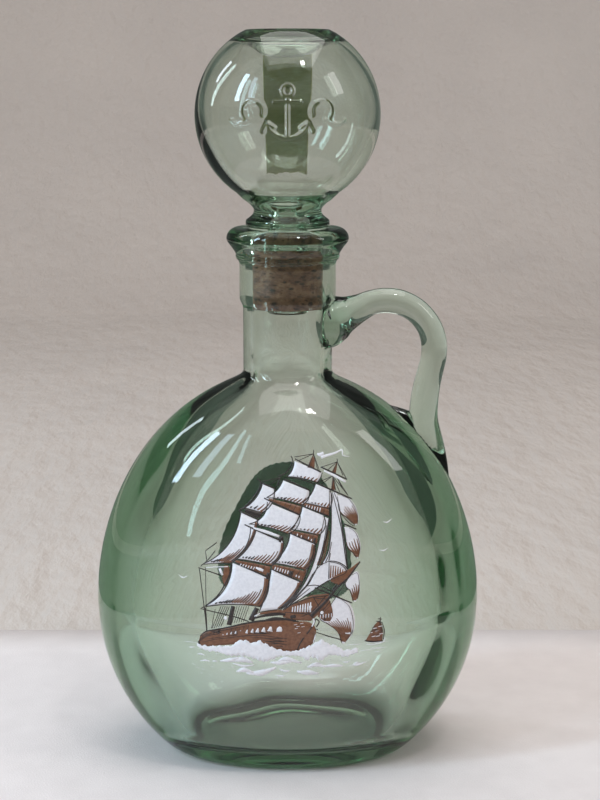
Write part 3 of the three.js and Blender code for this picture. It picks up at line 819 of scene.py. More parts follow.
DISTANT_SHIP = [(29.4, 54.3), (35.8, 53.6), (36, 58), (35.4, 60.6), (34.4, 62), (32.6, 60.2), (31, 57)]
FAR_SHIFT = 1.2
WAVE_WIDENING = 1.25
HATCH_SPACING = 1.15
HATCH_WIDTH = 0.5


def strip_between(lower, upper, columns=60, rows=4, smooth=True):
    """A grid between two lines that both run the same way."""
    if smooth:
        lower, upper = smooth_path(lower, 6), smooth_path(upper, 6)
    share = np.linspace(0, 1, columns)

    def resample(path):
        path = np.asarray(path, float)
        gone = np.concatenate([[0], np.cumsum(np.hypot(*np.diff(path, axis=0).T))])
        return np.stack([np.interp(share * gone[-1], gone, path[:, i]) for i in (0, 1)], 1)

    low, high = resample(lower), resample(upper)
    return np.array([low + (high - low) * t for t in np.linspace(0, 1, rows)])


def hatch_sail(sail, brown, dark, reach, band, random):
    """Strokes that rise from the foot, longer towards the right leech, and the shaded band beside it."""
    length = np.linalg.norm(sail.corners[2] - sail.corners[3])
    count = int(length * 0.86 / HATCH_SPACING) if reach else 0
    for k in range(count):
        share = (k + 0.5) / count
        u = 0.11 + (0.86 - band) * share
        height = reach * (0.16 + 0.84 * share**1.5) * random.uniform(0.85, 1.12)
        gap = 0.03 + 0.05 * (1 - share) * random.uniform(0.3, 1)
        colour = dark if share < 0.4 else brown
        colour.stroke(sail.line(u, 1 - gap, u + 0.02 * share, 1 - height, 5), HATCH_WIDTH, (1.2, 0.4))
        if share > 0.6 and k % 2:
            dark.stroke(sail.line(u + 0.012, 1 - height * 0.2, u + 0.03, 1 - height * 1.02, 4), 0.2, (1, 0.4))
    if reach:
        corner = sail.grid(0.74 - band, 1 - band, 0.93, 1.0, 7, 2)
        corner[0] += (corner[1] - corner[0]) * np.linspace(1, 0, 7)[:, None]
        brown.grid(corner)
    if band:
        brown.grid(sail.grid(1 - band, 1.0, 0.05, 1.0, 3, 12))
        dark.stroke(sail.line(1.0, 0.0, 1.0, 1.0, 9), 0.42, (0.7, 1.0))
        dark.stroke(sail.line(1 - band * 0.5, 0.1, 1 - band * 0.5, 0.95, 9), 0.34, (0.3, 0.8))


def draw_square_sails(piece, brown, dark, random):
    for name, (*corners, left, right, foot, reach, band) in SQUARE_SAILS.items():
        sail = Sail(*corners, right=right, left=left, foot=foot)
        piece(f"{name}_sail", f"sail_{name}", "white_enamel", "base", lambda e, s=sail: e.grid(s.grid()))
        hatch_sail(sail, brown, dark, reach, band, random)
        dark.stroke(sail.line(-0.03, 0.0, -0.015, 1.0, 9), 0.34, (0.8, 1.0))
        dark.stroke(sail.line(-0.02, 1.02, 1.0, 1.02, 9), 0.26, (0.8, 1.0))
        if not band:
            dark.stroke(sail.line(1.02, 0.0, 1.02, 1.0, 9), 0.32, (0.7, 1.0))
    for upper, lower in zip(UNDERSIDES[::2], UNDERSIDES[1::2]):
        grid = strip_between(lower, upper, 14, 3)
        (dark if upper[0][0] < -15 and upper[0][1] > 100 else brown).grid(grid)
        for k in range(2, 12, 2):
            dark.stroke([grid[0, k], grid[2, k + 1]], 0.22, (0.6, 0.6))
    for yard in YARDS:
        dark.stroke(yard, 0.58, (0.75, 0.75))


def draw_fore_and_aft_sails(piece, brown, dark, random):
    """The studding sails and jibs, each a surface between its outer and its inner edge."""
    for group, sails in (("studding", STUDDING_SAILS), ("jib", JIBS)):
        for name, (outer, inner) in sails.items():
            cloth = strip_between(inner, outer, 26, 9)
            piece(f"{group}_{name}_sail", f"sail_{group}_{name}", "white_enamel", "base",
                  lambda e, c=cloth: e.grid(c))
            if group == "studding":
                hatch_studding(name, cloth, brown, dark, random)
                dark.stroke(cloth[0, 1::4], 0.24, (0.5, 1))
            else:
                dark.stroke(cloth[0, ::5], 0.3, (0.6, 1))
                dark.stroke(cloth[-1, ::5], 0.3, (0.6, 1))
    jib_lines = [
        [(16, 109.6), (18, 102), (19.4, 96), (20.4, 89), (21.4, 82.6)],
        [(14.9, 110), (15, 101.4), (14, 94), (12.2, 86.6)],
        [(14, 98), (13, 92), (11.6, 86), (10.4, 82.4), (7.4, 76.6)], [(15.8, 92), (14.8, 87.4), (13.6, 84.8)],
        [(15.4, 88), (14.8, 85.2)], [(12, 83.8), (15, 85), (18, 84.6), (20.4, 83.2), (21.6, 81.8)],
        [(14.9, 84.6), (14.8, 78.4)], [(10.4, 82.4), (7.2, 76.4), (2, 71), (-1.6, 67.2)],
        [(9, 80.6), (6.2, 75.6), (0.4, 69.6), (-2.6, 67.2)],
        [(14.6, 78), (11.4, 75.8), (6, 72), (0.6, 68.6), (-1, 67.2)],
        [(6.6, 76), (10, 76.3), (13.4, 75.2), (16.6, 73.4)], [(8, 75.2), (3, 71), (-0.6, 67.8)],
    ]
    for line in jib_lines:
        dark.stroke(line, 0.34, (0.6, 1.0))
    for shift in (0.0, 0.7, 1.4):
        brown.stroke([(14.4 + shift * 0.5, 96), (12.4 + shift, 89), (10.6 + shift * 1.2, 83.6)], 0.4,
                     (0.3, 1.0))
    for k in range(7):
        x = 15.4 + k * 0.86
        brown.stroke([(x + 0.2, 83.4 - 0.12 * k * k * 0.5), (x, 78.8 + 0.35 * k)], 0.5, (0.5, 1.1))
    brown.grid(strip_between([(15.4, 77.6), (18.6, 76.2), (21.8, 78.4), (25.8, 84)],
                             [(15.6, 78.6), (18.8, 80.6), (22, 81.8), (25.9, 84.5)], 20, 4))
    brown.stroke([(8.9, 91), (8.2, 87), (6.4, 82), (4.4, 77), (0.6, 71.6), (-3.4, 67.6)], 1.0, (0.6, 0.7))
    dark.stroke([(9.6, 91), (9, 87), (7.2, 82), (5.2, 77), (1.2, 71.6), (-3, 67.4)], 0.4, (0.8, 0.8))


def hatch_studding(name, cloth, brown, dark, random):
    """Brown strokes that fan down to the foot, with white left between them and a white rim outside."""
    rows, columns = cloth.shape[:2]
    count = {"upper": 7, "middle": 5, "lower": 5, "water": 11}[name]
    foot = round(columns * 0.985) - 1
    brown.grid(cloth[1 : rows - 2, round(columns * 0.86) : foot])
    for k in range(count):
        row = 0.2 + (rows - 2.6) * k / (count - 1)
        low, high = int(row), min(int(row) + 1, rows - 1)
        line = cloth[low] + (cloth[high] - cloth[low]) * (row - low)
        start = round(columns * (0.42 + random.uniform(-0.05, 0.06) + 0.12 * abs(k / count - 0.4)))
        brown.stroke(line[start : foot : 3], 0.56, (0.35, 1.3))
    edge = cloth[rows - 2, 3:foot:4] * 0.55 + cloth[rows - 1, 3:foot:4] * 0.45
    dark.stroke(edge, 0.2, (0.5, 0.8))


def rig_masts(brown, dark, white):
    """Masts, stays and the triangular shrouds of the mastheads."""
    mastheads = [
        ((9.3, 122.9), [(2.4, 121.9), (4, 120.7), (10.8, 117.3), (11.4, 117.1)]),
        ((17.8, 119.9), [(12, 118.3), (14.4, 117.3), (19.9, 115.2), (21.2, 113.9)]),
        ((16.1, 115.2), [(10.3, 112.9), (12, 112.4), (17.3, 110.1), (18.7, 109.5), (21.7, 108.2)]),
        ((17.6, 114.7), [(19.8, 110.6), (21.7, 108.2)]),
        ((-2.6, 114.9), [(-9.2, 113.4), (-6.4, 112.4), (-4.2, 111.2), (-3.4, 112.2)]),
    ]
    for head, feet in mastheads:
        for foot in feet:
            dark.stroke([head, foot], 0.24)
    for foot, head in (((7.8, 118.2), (9.2, 122.4)), ((16.4, 115.9), (17.7, 119.6)),
                       ((16.4, 110.4), (16.3, 115))):
        brown.stroke([foot, head], 1.1, (1.5, 0.3))
        dark.stroke([np.asarray(foot) - [0.5, 0], head], 0.26, (1, 0.6))
    dark.stroke([(9.2, 122.4), (9.4, 124.2)], 0.3)
    dark.stroke([(17.8, 119.6), (17.8, 121)], 0.3)
    white.stroke([(13, 117.1), (17, 115.2), (20.9, 112.9)], 0.9, (0.6, 0.8))
    brown.grid(strip_between([(7.6, 118.4), (8.9, 122)], [(9.6, 117.6), (9.8, 121.6)], 5, 2, False))
    lines = [
        ([(1.2, 122.3), (1.7, 121), (1, 118.6), (-1.4, 116), (-3.6, 115.4)], 0.4),
        ([(-10.9, 114.4), (-9.7, 113.3), (-10.1, 111), (-12.6, 107.4), (-15.4, 104.4), (-17.2, 103.4)], 0.55),
        ([(0.2, 115.1), (4.4, 114.4), (9.8, 112.6)], 0.3), ([(-29.5, 88.2), (-25.4, 91.4)], 0.36),
        ([(-31.4, 82.3), (-28.6, 85), (-26, 88.4)], 0.34), ([(-32.2, 81.8), (-28, 80.6), (-24, 79.4)], 0.42),
        ([(-29.6, 82), (-29.5, 66)], 0.26), ([(-29.6, 88.2), (-29.1, 84)], 0.3),
        ([(-31.6, 66.6), (-20, 64.4), (-14, 62.6)], 0.42),
        ([(-31.2, 67), (-29.8, 66.4), (-29.3, 57.8)], 0.5), ([(-26.2, 66.8), (-27.6, 59.4)], 0.22),
        ([(-29.7, 67.4), (-23, 68.6), (-15, 68.8), (-9.8, 68.2)], 0.34),
        ([(-20.4, 83.4), (-20.9, 80), (-23.4, 74.6), (-26, 71), (-29.8, 67.6)], 0.5),
        ([(10.1, 63.8), (11.4, 62.6), (10.4, 60.6)], 0.5), ([(10.4, 58.6), (14.4, 57), (19.4, 55.4)], 0.42),
        ([(15.8, 73.8), (17.8, 76.6)], 0.62), ([(15.4, 68.6), (19, 74.2), (21, 77.8)], 0.26),
        ([(19.2, 101.8), (22, 98.6), (24, 97.2)], 0.3), ([(0.6, 96.6), (3, 99), (5, 103.4)], 0.3),
        ([(10, 59.9), (11, 59.6)], 0.4),
    ]
    for line, width in lines:
        dark.stroke(line, width, (0.8, 1.0))
    # Between main course and hull: two lower masts and slanted shrouds
    dark.stroke([(-19.6, 68.2), (-21.2, 61)], 1.6, (0.95, 1.1))
    dark.stroke([(-11, 67.8), (-13.2, 62.9)], 1.9, (0.9, 1.1))
    for k in range(5):
        dark.stroke([(-24 + k * 0.75, 68), (-27.4 + k * 0.8, 59.4 + k * 0.2)], 0.26)
    for k in range(6):
        dark.stroke([(-18.2 + k * 0.85, 68.4), (-20.2 + k * 0.85, 61.6 + k * 0.18)], 0.22)
    white.blob(circle_stroke(-22.4, 63.6, 0.7, 0, 330, 12))
    brown.grid(strip_between([(-23.6, 78), (-22.8, 76), (-22, 75.4)],
                             [(-22.8, 83.2), (-21.2, 83), (-20.8, 81)], 8, 4))
    white.stroke([(-24.5, 82), (-23.4, 79.6)], 1.0, (0.9, 0.7))
    white.stroke([(-29.4, 82), (-26.4, 82.4), (-21.4, 82.8)], 0.3)
    for x, z, width, height in ((-2.4, 93.2, 1.9, 2.2), (-7, 79.8, 1.6, 2.4), (9.6, 92.6, 1.5, 1.8),
                                (1.2, 80.6, 1.6, 2.2)):
        dark.stroke([(x - 0.2, z - height / 2), (x + 0.2, z + height / 2)], width, (0.6, 0.6))
    whites = [[(-12.2, 97.1), (-8, 95.9), (-3, 94.2)], [(-11.4, 82.8), (-10, 82.2), (-8.7, 81.7)]]
    for line in whites:
        white.stroke(line, 1.1, (0.5, 0.8))
    for k in range(6):
        white.stroke([(-16.6 + k * 0.95, 84.1 - k * 0.22), (-17.1 + k * 0.95, 83.3 - k * 0.25)], 0.34)
        white.stroke([(-4.3 + k * 0.92, 83.1 - k * 0.25), (-4.7 + k * 0.92, 82 - k * 0.3)], 0.36)
        white.stroke([(7 + k * 0.95, 105.3 - k * 0.2), (6.7 + k * 0.95, 104.6 - k * 0.35)], 0.34)
    for x, z in ((3.2, 80.2), (4.2, 79.8), (-2, 92.6), (7.6, 94), (8.6, 93.2), (3.6, 95.2), (5, 94.6)):
        white.stroke([(x, z), (x - 0.2, z - 0.8)], 0.4, (0.8, 0.8))


def draw_hull(piece, brown, dark, white):
    piece("ship_hull_side", "ship_hull", "brown_enamel", "brown",
          lambda e: e.grid(strip_between(KEEL, SHEER, 60, 6)))
    hull = strip_between(KEEL, SHEER, 60, 11)
    dark.stroke(hull[10, 2:46:4] + [0, 0.1], 0.62, (0.5, 1.2))
    dark.stroke([(-9, 63), (-5, 64), (-1, 63.7), (3, 63.1)], 0.9, (0.4, 0.7))
    dark.stroke([(-12, 63.9), (-8, 65), (-3, 65.6), (-0.8, 65.3)], 1.2, (0.5, 0.8))
    brown.stroke([(-11.4, 65.2), (-8, 66), (-4, 66.6), (-1.4, 66.6)], 1.2, (0.5, 0.9))
    white.stroke([(-12, 64.6), (-10, 65.7)], 0.4)
    for row, start, stop in ((9, 1, 30), (8, 1, 14), (7, 0, 16), (5, 6, 52), (4, 2, 50), (3, 26, 48),
                             (2, 32, 46)):
        dark.stroke(hull[row, start:stop:6], 0.26, (0.5, 0.6))
    for k in range(13):
        dark.stroke([hull[9, 2 + 2 * k], hull[7, 1 + 2 * k]], 0.24, (0.8, 0.5))
    dark.stroke(hull[1:10, 0], 0.8, (0.7, 0.9))
    for z, x0, x1, width in ((57.1, -4.8, -2.2, 0.5), (56.1, -8, -1.8, 0.24), (55, -8, -1.4, 0.34),
                             (54.1, -7, -1.5, 0.3),
                             (53.2, -5, -1.6, 0.26)):
        dark.stroke([(x0, z), ((x0 + x1) / 2, z + 0.08), (x1, z)], width, (0.3, 0.8))
    ports = [(-23.4, 57.3), (-22, 57.6), (-20.5, 57.9), (-18.9, 58.2), (-17.2, 58.5), (-14.8, 58.8),
             (-12.8, 59.1),
             (-10.9, 59.3), (-8.7, 59.6), (-6.3, 59.9)]
    for k, (x, z) in enumerate(ports):
        tall = 0.8 + 0.11 * k
        white.stroke([(x - 0.1, z - tall / 2), (x + 0.25, z + tall / 2)], 0.34 + 0.012 * k * k, (1.5, 0.5))
    white.blob([(-4.1, 58.9), (-2.1, 58.9), (-1.9, 59.6), (-2.2, 60.6), (-3, 60.9), (-3.8, 60.3)])
    for x, z in ((2.4, 61.5), (3.2, 60.8), (2.6, 60), (5, 60.7), (4.6, 61.9), (3.6, 58.4), (4, 57.6)):
        white.stroke([(x, z), (x + 1.1, z + 0.2)], 0.32, (0.5, 0.5))
    dark.stroke([(3.5, 51.3), (4.1, 53.4), (5.8, 56.4), (8.4, 60), (9.6, 62), (10.1, 63.8)], 0.5, (0.9, 0.9))
    white.stroke([(9.3, 54.6), (10.2, 57.8)], 0.34)
    white.stroke([(8.8, 60.8), (9.6, 62.6), (9.2, 63.8)], 0.5)
    # The foredeck and the shaded head of the bow under the jibs
    brown.grid(strip_between([(-1.6, 64.4), (2.4, 63.2), (8.4, 62.9), (11.4, 65.6), (14.6, 70)],
                             [(-2.4, 66.8), (2, 69.6), (5, 70.8), (8.4, 72.6), (15, 73.1)], 26, 5, False))
    for path in ([(3.4, 70), (7, 66.2), (9.6, 63.6)], [(9, 72.4), (11.6, 67.6)],
                 [(2.6, 69.6), (8, 71.6), (14.6, 72.4)],
                 [(-1, 66.2), (4, 65.9), (8, 65.4)], [(9.4, 71.6), (14.2, 71)],
                 [(5, 64.6), (9, 66.6), (14, 72.6)]):
        dark.stroke(path, 0.36, (0.6, 0.8))
    brown.grid(strip_between([(10.8, 64.6), (13.2, 62.8), (15.4, 62.6), (16.4, 64.8)],
                             [(11.6, 67.8), (13.8, 70.4), (15.2, 70.8), (16.2, 67)], 16, 4, False))
    for path in ([(11.4, 64.8), (13.2, 67.4), (15.4, 70.2)], [(13, 63.2), (15.8, 66)],
                 [(11.2, 66.8), (13.8, 63)]):
        dark.stroke(path, 0.3, (0.6, 0.8))
    for k in range(8):
        x = 1.7 + k * 0.92
        white.stroke([(x, 66.4 - k * 0.02), (x + 0.2, 68.3 + k * 0.24)], 0.56, (0.9, 0.6))
    for k in range(5):
        x = 11.8 + k * 1.0
        white.stroke([(x, 63.8 + k * 0.1), (x + 0.05, 65.2 + k * 0.1)], 0.38, (0.7, 0.7))
    white.blob([(7.8, 67), (8.9, 68.2), (8.4, 69), (7.8, 68.6)])
    white.blob(circle_stroke(12.4, 66, 0.62, 0, 330, 10))
    dark.stroke([(2, 62.9), (4, 62.8)], 0.4)
    for spot in ((2.4, 64.6), (1.6, 64.5)):
        dark.blob(circle_stroke(*spot, 0.7, 0, 330, 10))
    draw_distant_ship(piece, dark, white)


def draw_distant_ship(piece, dark, white):
    far = np.asarray(DISTANT_SHIP, float)
    far[:, 0] -= FAR_SHIFT
    piece("distant_ship_mark", "distant_ship", "brown_enamel", "brown",
          lambda e: e.blob(far, (33.8 - FAR_SHIFT, 56.8)))
    for x, z in ((31.4, 57.4), (32.2, 59), (33.4, 55.8), (33, 57.8), (34.2, 59.6), (34.6, 56.6),
                 (31.8, 55.8)):
        white.stroke([(x - FAR_SHIFT, z), (x - FAR_SHIFT + 1.4, z + 0.2)], 0.46, (0.5, 0.6))
        dark.stroke([(x - FAR_SHIFT - 0.3, z + 0.5), (x - FAR_SHIFT + 1, z + 0.8)], 0.26, (0.6, 0.6))
    for line, width in (([(34.8, 60.6), (34.9, 63.2)], 0.4), ([(33.4, 61.8), (35.8, 61)], 0.4),
                        ([(29.2, 54.5), (32.6, 53.8), (35.9, 53.9)], 0.5), ([(34, 62.6), (35.4, 62.3)], 0.4),
                        ([(36.1, 54.4), (36.4, 58), (35.6, 60.8)], 0.36)):
        dark.stroke(np.asarray(line) - [FAR_SHIFT, 0], width, (0.9, 0.7))
    rim = np.array([(29.8, 53), (33, 52.9), (36.2, 53.6), (36.6, 55)])
    white.stroke(rim - [FAR_SHIFT, 0], 0.36, (0.5, 0.7))


def draw_sea(piece, white, random):
    def foam(enamel):
        grid = strip_between(TROUGH, CREST, 150, 5)
        ripple = np.abs(np.sin(np.arange(150) * 0.66)) * random.uniform(0.1, 0.9, 150)
        crests = np.abs(np.sin(np.arange(150) * 0.5 + 1)) * random.uniform(0.3, 0.9, 150)
        grid[0, :, 1] -= ripple
        grid[-1, :, 1] += crests
        enamel.grid(grid)

    piece("bow_wave_foam", "bow_wave", "white_enamel", "top", foam)
    for number, strokes in enumerate(WAVES, 1):
        def wave(enamel, strokes=strokes):
            for path, width in strokes:
                enamel.stroke(path, width * WAVE_WIDENING, (0.3, 0.3))

        piece(f"wave_crest_{number}", f"wave_{number}", "white_enamel", "base", wave)
    dashes = [
        ([(-32, 46.4), (-30, 46.8), (-28.2, 46.5)], 0.7), ([(-27.6, 46.7), (-25.4, 46.8)], 0.6),
        ([(-33, 49), (-31.4, 49.1), (-30, 48.6)], 0.6), ([(-35, 45.2), (-33.4, 44.6)], 0.5),
        ([(-20, 46.3), (-16, 45.4), (-12, 46)], 0.9), ([(-20.6, 45.4), (-19.4, 44.7)], 0.5),
        ([(-3, 44.6), (-0.6, 43.6), (1, 44.1)], 0.9), ([(8.6, 46.3), (12, 46.9)], 0.5),
        ([(-4.4, 42.1), (-2.6, 41.7), (-1, 42)], 0.8), ([(-4, 41), (-3, 40.8)], 0.6),
        ([(23.4, 45.5), (25.4, 45.4), (29, 46.4)], 0.9), ([(24, 46), (26.2, 46.3)], 0.8),
        ([(20, 46.9), (21.4, 46.6), (22.8, 47.1)], 0.7), ([(10, 41.5), (12, 41.6)], 0.5),
        ([(16.6, 41), (17.2, 41)], 0.5),
        ([(28.6, 44.7), (29.6, 44.7)], 0.5), ([(21, 53.2), (27.4, 53.4)], 0.28),
        ([(30, 51.4), (33, 51.3), (35.8, 51.4)], 0.4),
        ([(26.4, 50.8), (31.6, 50.9)], 0.32), ([(27.8, 53.5), (37.6, 53.6)], 0.2),
        ([(-36, 51.4), (-33.6, 51.6)], 0.5),
        ([(-36.4, 48.8), (-35.2, 48.8)], 0.4), ([(-38, 53.4), (-33, 53.4)], 0.24),
        ([(-28.6, 41.2), (-27.8, 41.2)], 0.4),
        ([(-24.4, 38.9), (-23.6, 38.9)], 0.4), ([(31.6, 49.9), (34.6, 50)], 0.3),
        ([(-17, 51), (-14, 50.8)], 0.3),
        ([(5.6, 47.8), (7, 47.6)], 0.3),
    ]
    for path, width in dashes:
        white.stroke(path, width, (0.25, 0.25))
    for _ in range(34):
        x, z = random.uniform(-34, 34), random.uniform(41.5, 50.5)
        white.stroke([(x, z), (x + random.uniform(0.3, 1.1), z + random.uniform(-0.15, 0.15))], 0.38,
                     (0.5, 0.5))
    for number, gull in enumerate(GULLS, 1):
        piece(f"gull_mark_{number}", f"gull_{number}", "white_enamel", "base",
              lambda e, g=gull: e.stroke(g, 0.5, (0.15, 0.15)))

    def flag(enamel):
        enamel.stroke([(12, 121.7), (14, 122.2), (17, 122.9), (19.6, 123.8), (19.9, 122), (22.2, 121.5)], 0.6,
                      (1.9, 0.25))
        enamel.stroke([(10.6, 122.9), (11.6, 122.6), (13, 123)], 1.2, (0.5, 1.0))

    piece("masthead_pennant", "pennant", "white_enamel", "base", flag)


def make_ship():
    """All the printed pieces: one for each sail, hull, wave, gull and spar, and the inks that cross them."""
    random = np.random.default_rng(SEED + 2)
    brown, dark = Enamel("brown_ink", "brown"), Enamel("dark_ink", "dark")
    white = Enamel("white_flecks", "top")
    made = []

    def piece(name, node, slot, layer, draw):
        enamel = Enamel(name, layer)
        draw(enamel)
        made.append((enamel.make(), node, slot))

    draw_square_sails(piece, brown, dark, random)
    draw_fore_and_aft_sails(piece, brown, dark, random)
    rig_masts(brown, dark, white)
    draw_hull(piece, brown, dark, white)
    draw_sea(piece, white, random)
    piece("bowsprit_spar", "bowsprit", "dark_enamel", "dark", lambda e: e.stroke(BOWSPRIT, 0.7, (2.0, 0.7)))
    piece("mizzen_backstay_line", "mizzen_backstay", "dark_enamel", "dark",
          lambda e: e.stroke(BACKSTAY, 0.34))
    made.append((brown.make(), None, "brown_enamel"))
    made.append((dark.make(), None, "dark_enamel"))
    made.append((white.make(), None, "white_enamel"))
    return made


# ---- Materials ----


class Shader:
    """A node material with the few links that every surface here needs."""

    def __init__(self, name):
        self.material = bpy.data.materials.new(name)
        self.material.use_nodes = True
        self.nodes = self.material.node_tree.nodes
        self.links = self.material.node_tree.links
        self.bsdf = self.nodes["Principled BSDF"]
        self.place = self.nodes.new("ShaderNodeTexCoord").outputs["Object"]

    def set(self, **values):
        for name, value in values.items():
            self.bsdf.inputs[name.replace("_", " ")].default_value = value

    def noise(self, scale, detail=4.0, roughness=0.55, stretch=(1, 1, 1)):
        mapping = self.nodes.new("ShaderNodeMapping")
        mapping.inputs["Scale"].default_value = stretch
        node = self.nodes.new("ShaderNodeTexNoise")
        node.inputs["Scale"].default_value = scale
        node.inputs["Detail"].default_value = detail
        node.inputs["Roughness"].default_value = roughness
        self.links.new(self.place, mapping.inputs["Vector"])
        self.links.new(mapping.outputs["Vector"], node.inputs["Vector"])
        return node.outputs["Fac"]

    def cells(self, scale, stretch=(1, 1, 1)):
        mapping = self.nodes.new("ShaderNodeMapping")
        mapping.inputs["Scale"].default_value = stretch
        node = self.nodes.new("ShaderNodeTexVoronoi")
        node.inputs["Scale"].default_value = scale
        self.links.new(self.place, mapping.inputs["Vector"])
        self.links.new(mapping.outputs["Vector"], node.inputs["Vector"])
        return node.outputs["Distance"]

    def ramp(self, factor, *stops):
        node = self.nodes.new("ShaderNodeValToRGB")
        elements = node.color_ramp.elements
        while len(elements) < len(stops):
            elements.new(0.5)
        for element, (position, colour) in zip(elements, stops):
            element.position = position
            element.color = (*colour, 1) if len(colour) == 3 else colour
        self.links.new(factor, node.inputs["Fac"])
        return node.outputs["Color"]

    def grey(self, factor, low, high, start=0.0, end=1.0):
        node = self.nodes.new("ShaderNodeMapRange")
        for name, value in (("From Min", start), ("From Max", end), ("To Min", low), ("To Max", high)):
            node.inputs[name].default_value = value
        self.links.new(factor, node.inputs["Value"])
        return node.outputs["Result"]

    def mix(self, factor, first, second, blend="MIX"):
        node = self.nodes.new("ShaderNodeMix")
        node.data_type = "RGBA"
        node.blend_type = blend
        for value, socket in ((factor, node.inputs["Factor"]), (first, node.inputs[6]),
                              (second, node.inputs[7])):
            if isinstance(value, bpy.types.NodeSocket):
                self.links.new(value, socket)
            else:
                socket.default_value = value
        return node.outputs[2]

    def colour(self, output):
        self.links.new(output, self.bsdf.inputs["Base Color"])
        return self

    def roughness(self, output):
        self.links.new(output, self.bsdf.inputs["Roughness"])
        return self

    def bump(self, height, distance_mm, strength=1.0):
        node = self.nodes.new("ShaderNodeBump")
        node.inputs["Strength"].default_value = strength
        node.inputs["Distance"].default_value = distance_mm * MM
        self.links.new(height, node.inputs["Height"])
        self.links.new(node.outputs["Normal"], self.bsdf.inputs["Normal"])
        return self


GLASS_ABSORPTION = (0.38, 0.61, 0.43, 1)
GLASS_DENSITY = 72


def glass_material(name, density):
    shader = Shader(name)
    tint = shader.noise(26, 2)
    shader.colour(shader.ramp(tint, (0.3, (0.955, 0.985, 0.96)), (0.7, (0.99, 1.0, 0.99))))
    shader.set(IOR=1.5, Transmission_Weight=1.0)
    shader.roughness(shader.grey(shader.noise(140, 3), 0.0, 0.02, 0.45, 0.8))
    shader.bump(shader.noise(38, 1, 0.4, (1, 1, 0.45)), 0.55, 0.5)
    absorb = shader.nodes.new("ShaderNodeVolumeAbsorption")
    absorb.inputs["Color"].default_value = GLASS_ABSORPTION
    absorb.inputs["Density"].default_value = density
    shader.links.new(absorb.outputs["Volume"], shader.nodes["Material Output"].inputs["Volume"])
    return shader.material


def enamel_material(name, dark, light, roughness):
    """Fired screen-print enamel: slightly mottled, with the faint weave of the screen."""
    shader = Shader(name)
    mottle = shader.noise(900, 5, 0.6)
    shader.colour(shader.ramp(mottle, (0.3, dark), (0.62, light)))
    shader.roughness(shader.grey(shader.noise(420, 3), roughness - 0.08, roughness + 0.12, 0.3, 0.7))
    shader.set(Coat_Weight=0.15, Coat_Roughness=0.25)
    return shader.bump(shader.noise(2600, 2), 0.02, 0.6).material


def cork_material():
    shader = Shader("natural_cork")
    grain = shader.noise(260, 8, 0.65, (1, 1, 1.6))
    ground = shader.ramp(
        grain, (0.30, (0.06, 0.022, 0.012)), (0.43, (0.22, 0.085, 0.045)), (0.56, (0.37, 0.165, 0.09)),
        (0.75, (0.52, 0.27, 0.16)),
    )
    pores = shader.ramp(shader.cells(230, (1, 1, 2.0)), (0.16, (0.04, 0.016, 0.01)), (0.30, (1, 1, 1)))
    flecks = shader.ramp(shader.noise(700, 3, 0.5, (1, 1, 2.6)), (0.60, (1, 1, 1)),
                         (0.68, (0.16, 0.07, 0.035)))
    shader.colour(shader.mix(0.85, shader.mix(0.8, ground, pores, "MULTIPLY"), flecks, "MULTIPLY"))
    shader.roughness(shader.grey(grain, 0.72, 0.95))
    return shader.bump(shader.noise(420, 6, 0.7), 0.35, 0.9).material


def paper_material(name, dark, light, fibre):
    shader = Shader(name)
    blotch = shader.noise(120, 6, 0.6)
    fibres = shader.noise(1500, 3, 0.6, (0.25, 1, 1))
    ground = shader.ramp(blotch, (0.32, dark), (0.66, light))
    shader.colour(shader.mix(0.35, ground, shader.ramp(fibres, (0.35, dark), (0.7, fibre)), "MIX"))
    shader.roughness(shader.grey(fibres, 0.55, 0.85))
    return shader.bump(fibres, 0.06, 0.7).material


def wall_material():
    shader = Shader("plain_backdrop")
    shader.colour(shader.ramp(shader.noise(5, 3), (0.3, (0.545, 0.49, 0.455)), (0.7, (0.59, 0.53, 0.49))))
    shader.roughness(shader.grey(shader.noise(30, 2), 0.85, 0.95))
    return shader.bump(shader.noise(62, 4, 0.5, (1, 0.4, 1)), 9, 0.6).material


def cloth_material():
    """White table cloth, faintly mottled, with a fine bump and a little sheen."""
    shader = Shader("white_cloth")
    shader.colour(shader.ramp(shader.noise(60, 4), (0.3, (0.75, 0.69, 0.685)), (0.7, (0.80, 0.74, 0.735))))
    shader.roughness(shader.grey(shader.noise(300, 2), 0.8, 0.95))
    shader.set(Sheen_Weight=0.15)
    return shader.bump(shader.noise(1400, 3), 0.25, 0.6).material


MATERIALS = {
    "green_glass": glass_material("green_glass", GLASS_DENSITY),
    "white_enamel": enamel_material("white_enamel", (0.75, 0.745, 0.79), (0.86, 0.855, 0.895), 0.38),
    "brown_enamel": enamel_material("brown_enamel", (0.135, 0.056, 0.028), (0.225, 0.096, 0.050), 0.4),
    "dark_enamel": enamel_material("dark_enamel", (0.018, 0.014, 0.014), (0.045, 0.03, 0.026), 0.4),
    "cork": cork_material(),
    "seal_paper": paper_material("seal_paper", (0.52, 0.43, 0.18), (0.70, 0.59, 0.28), (0.80, 0.68, 0.38)),
    "label_paper": paper_material("label_paper", (0.185, 0.29, 0.185), (0.235, 0.355, 0.22),
                                  (0.29, 0.41, 0.27)),
}


def add_piece(piece, body, slot, *nodes):
    piece.data.materials.append(MATERIALS[slot])
    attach(piece, body)
    if nodes:
        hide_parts(*nodes)
    return piece


# ---- Stage, light and camera ----

FLOOR_RADIUS = 1.1
WALL_RADIUS = 1.7
WALL_HEIGHT = 2.0
MAT_FAR_EDGE = 0.126
MAT_THICKNESS = 0.0008


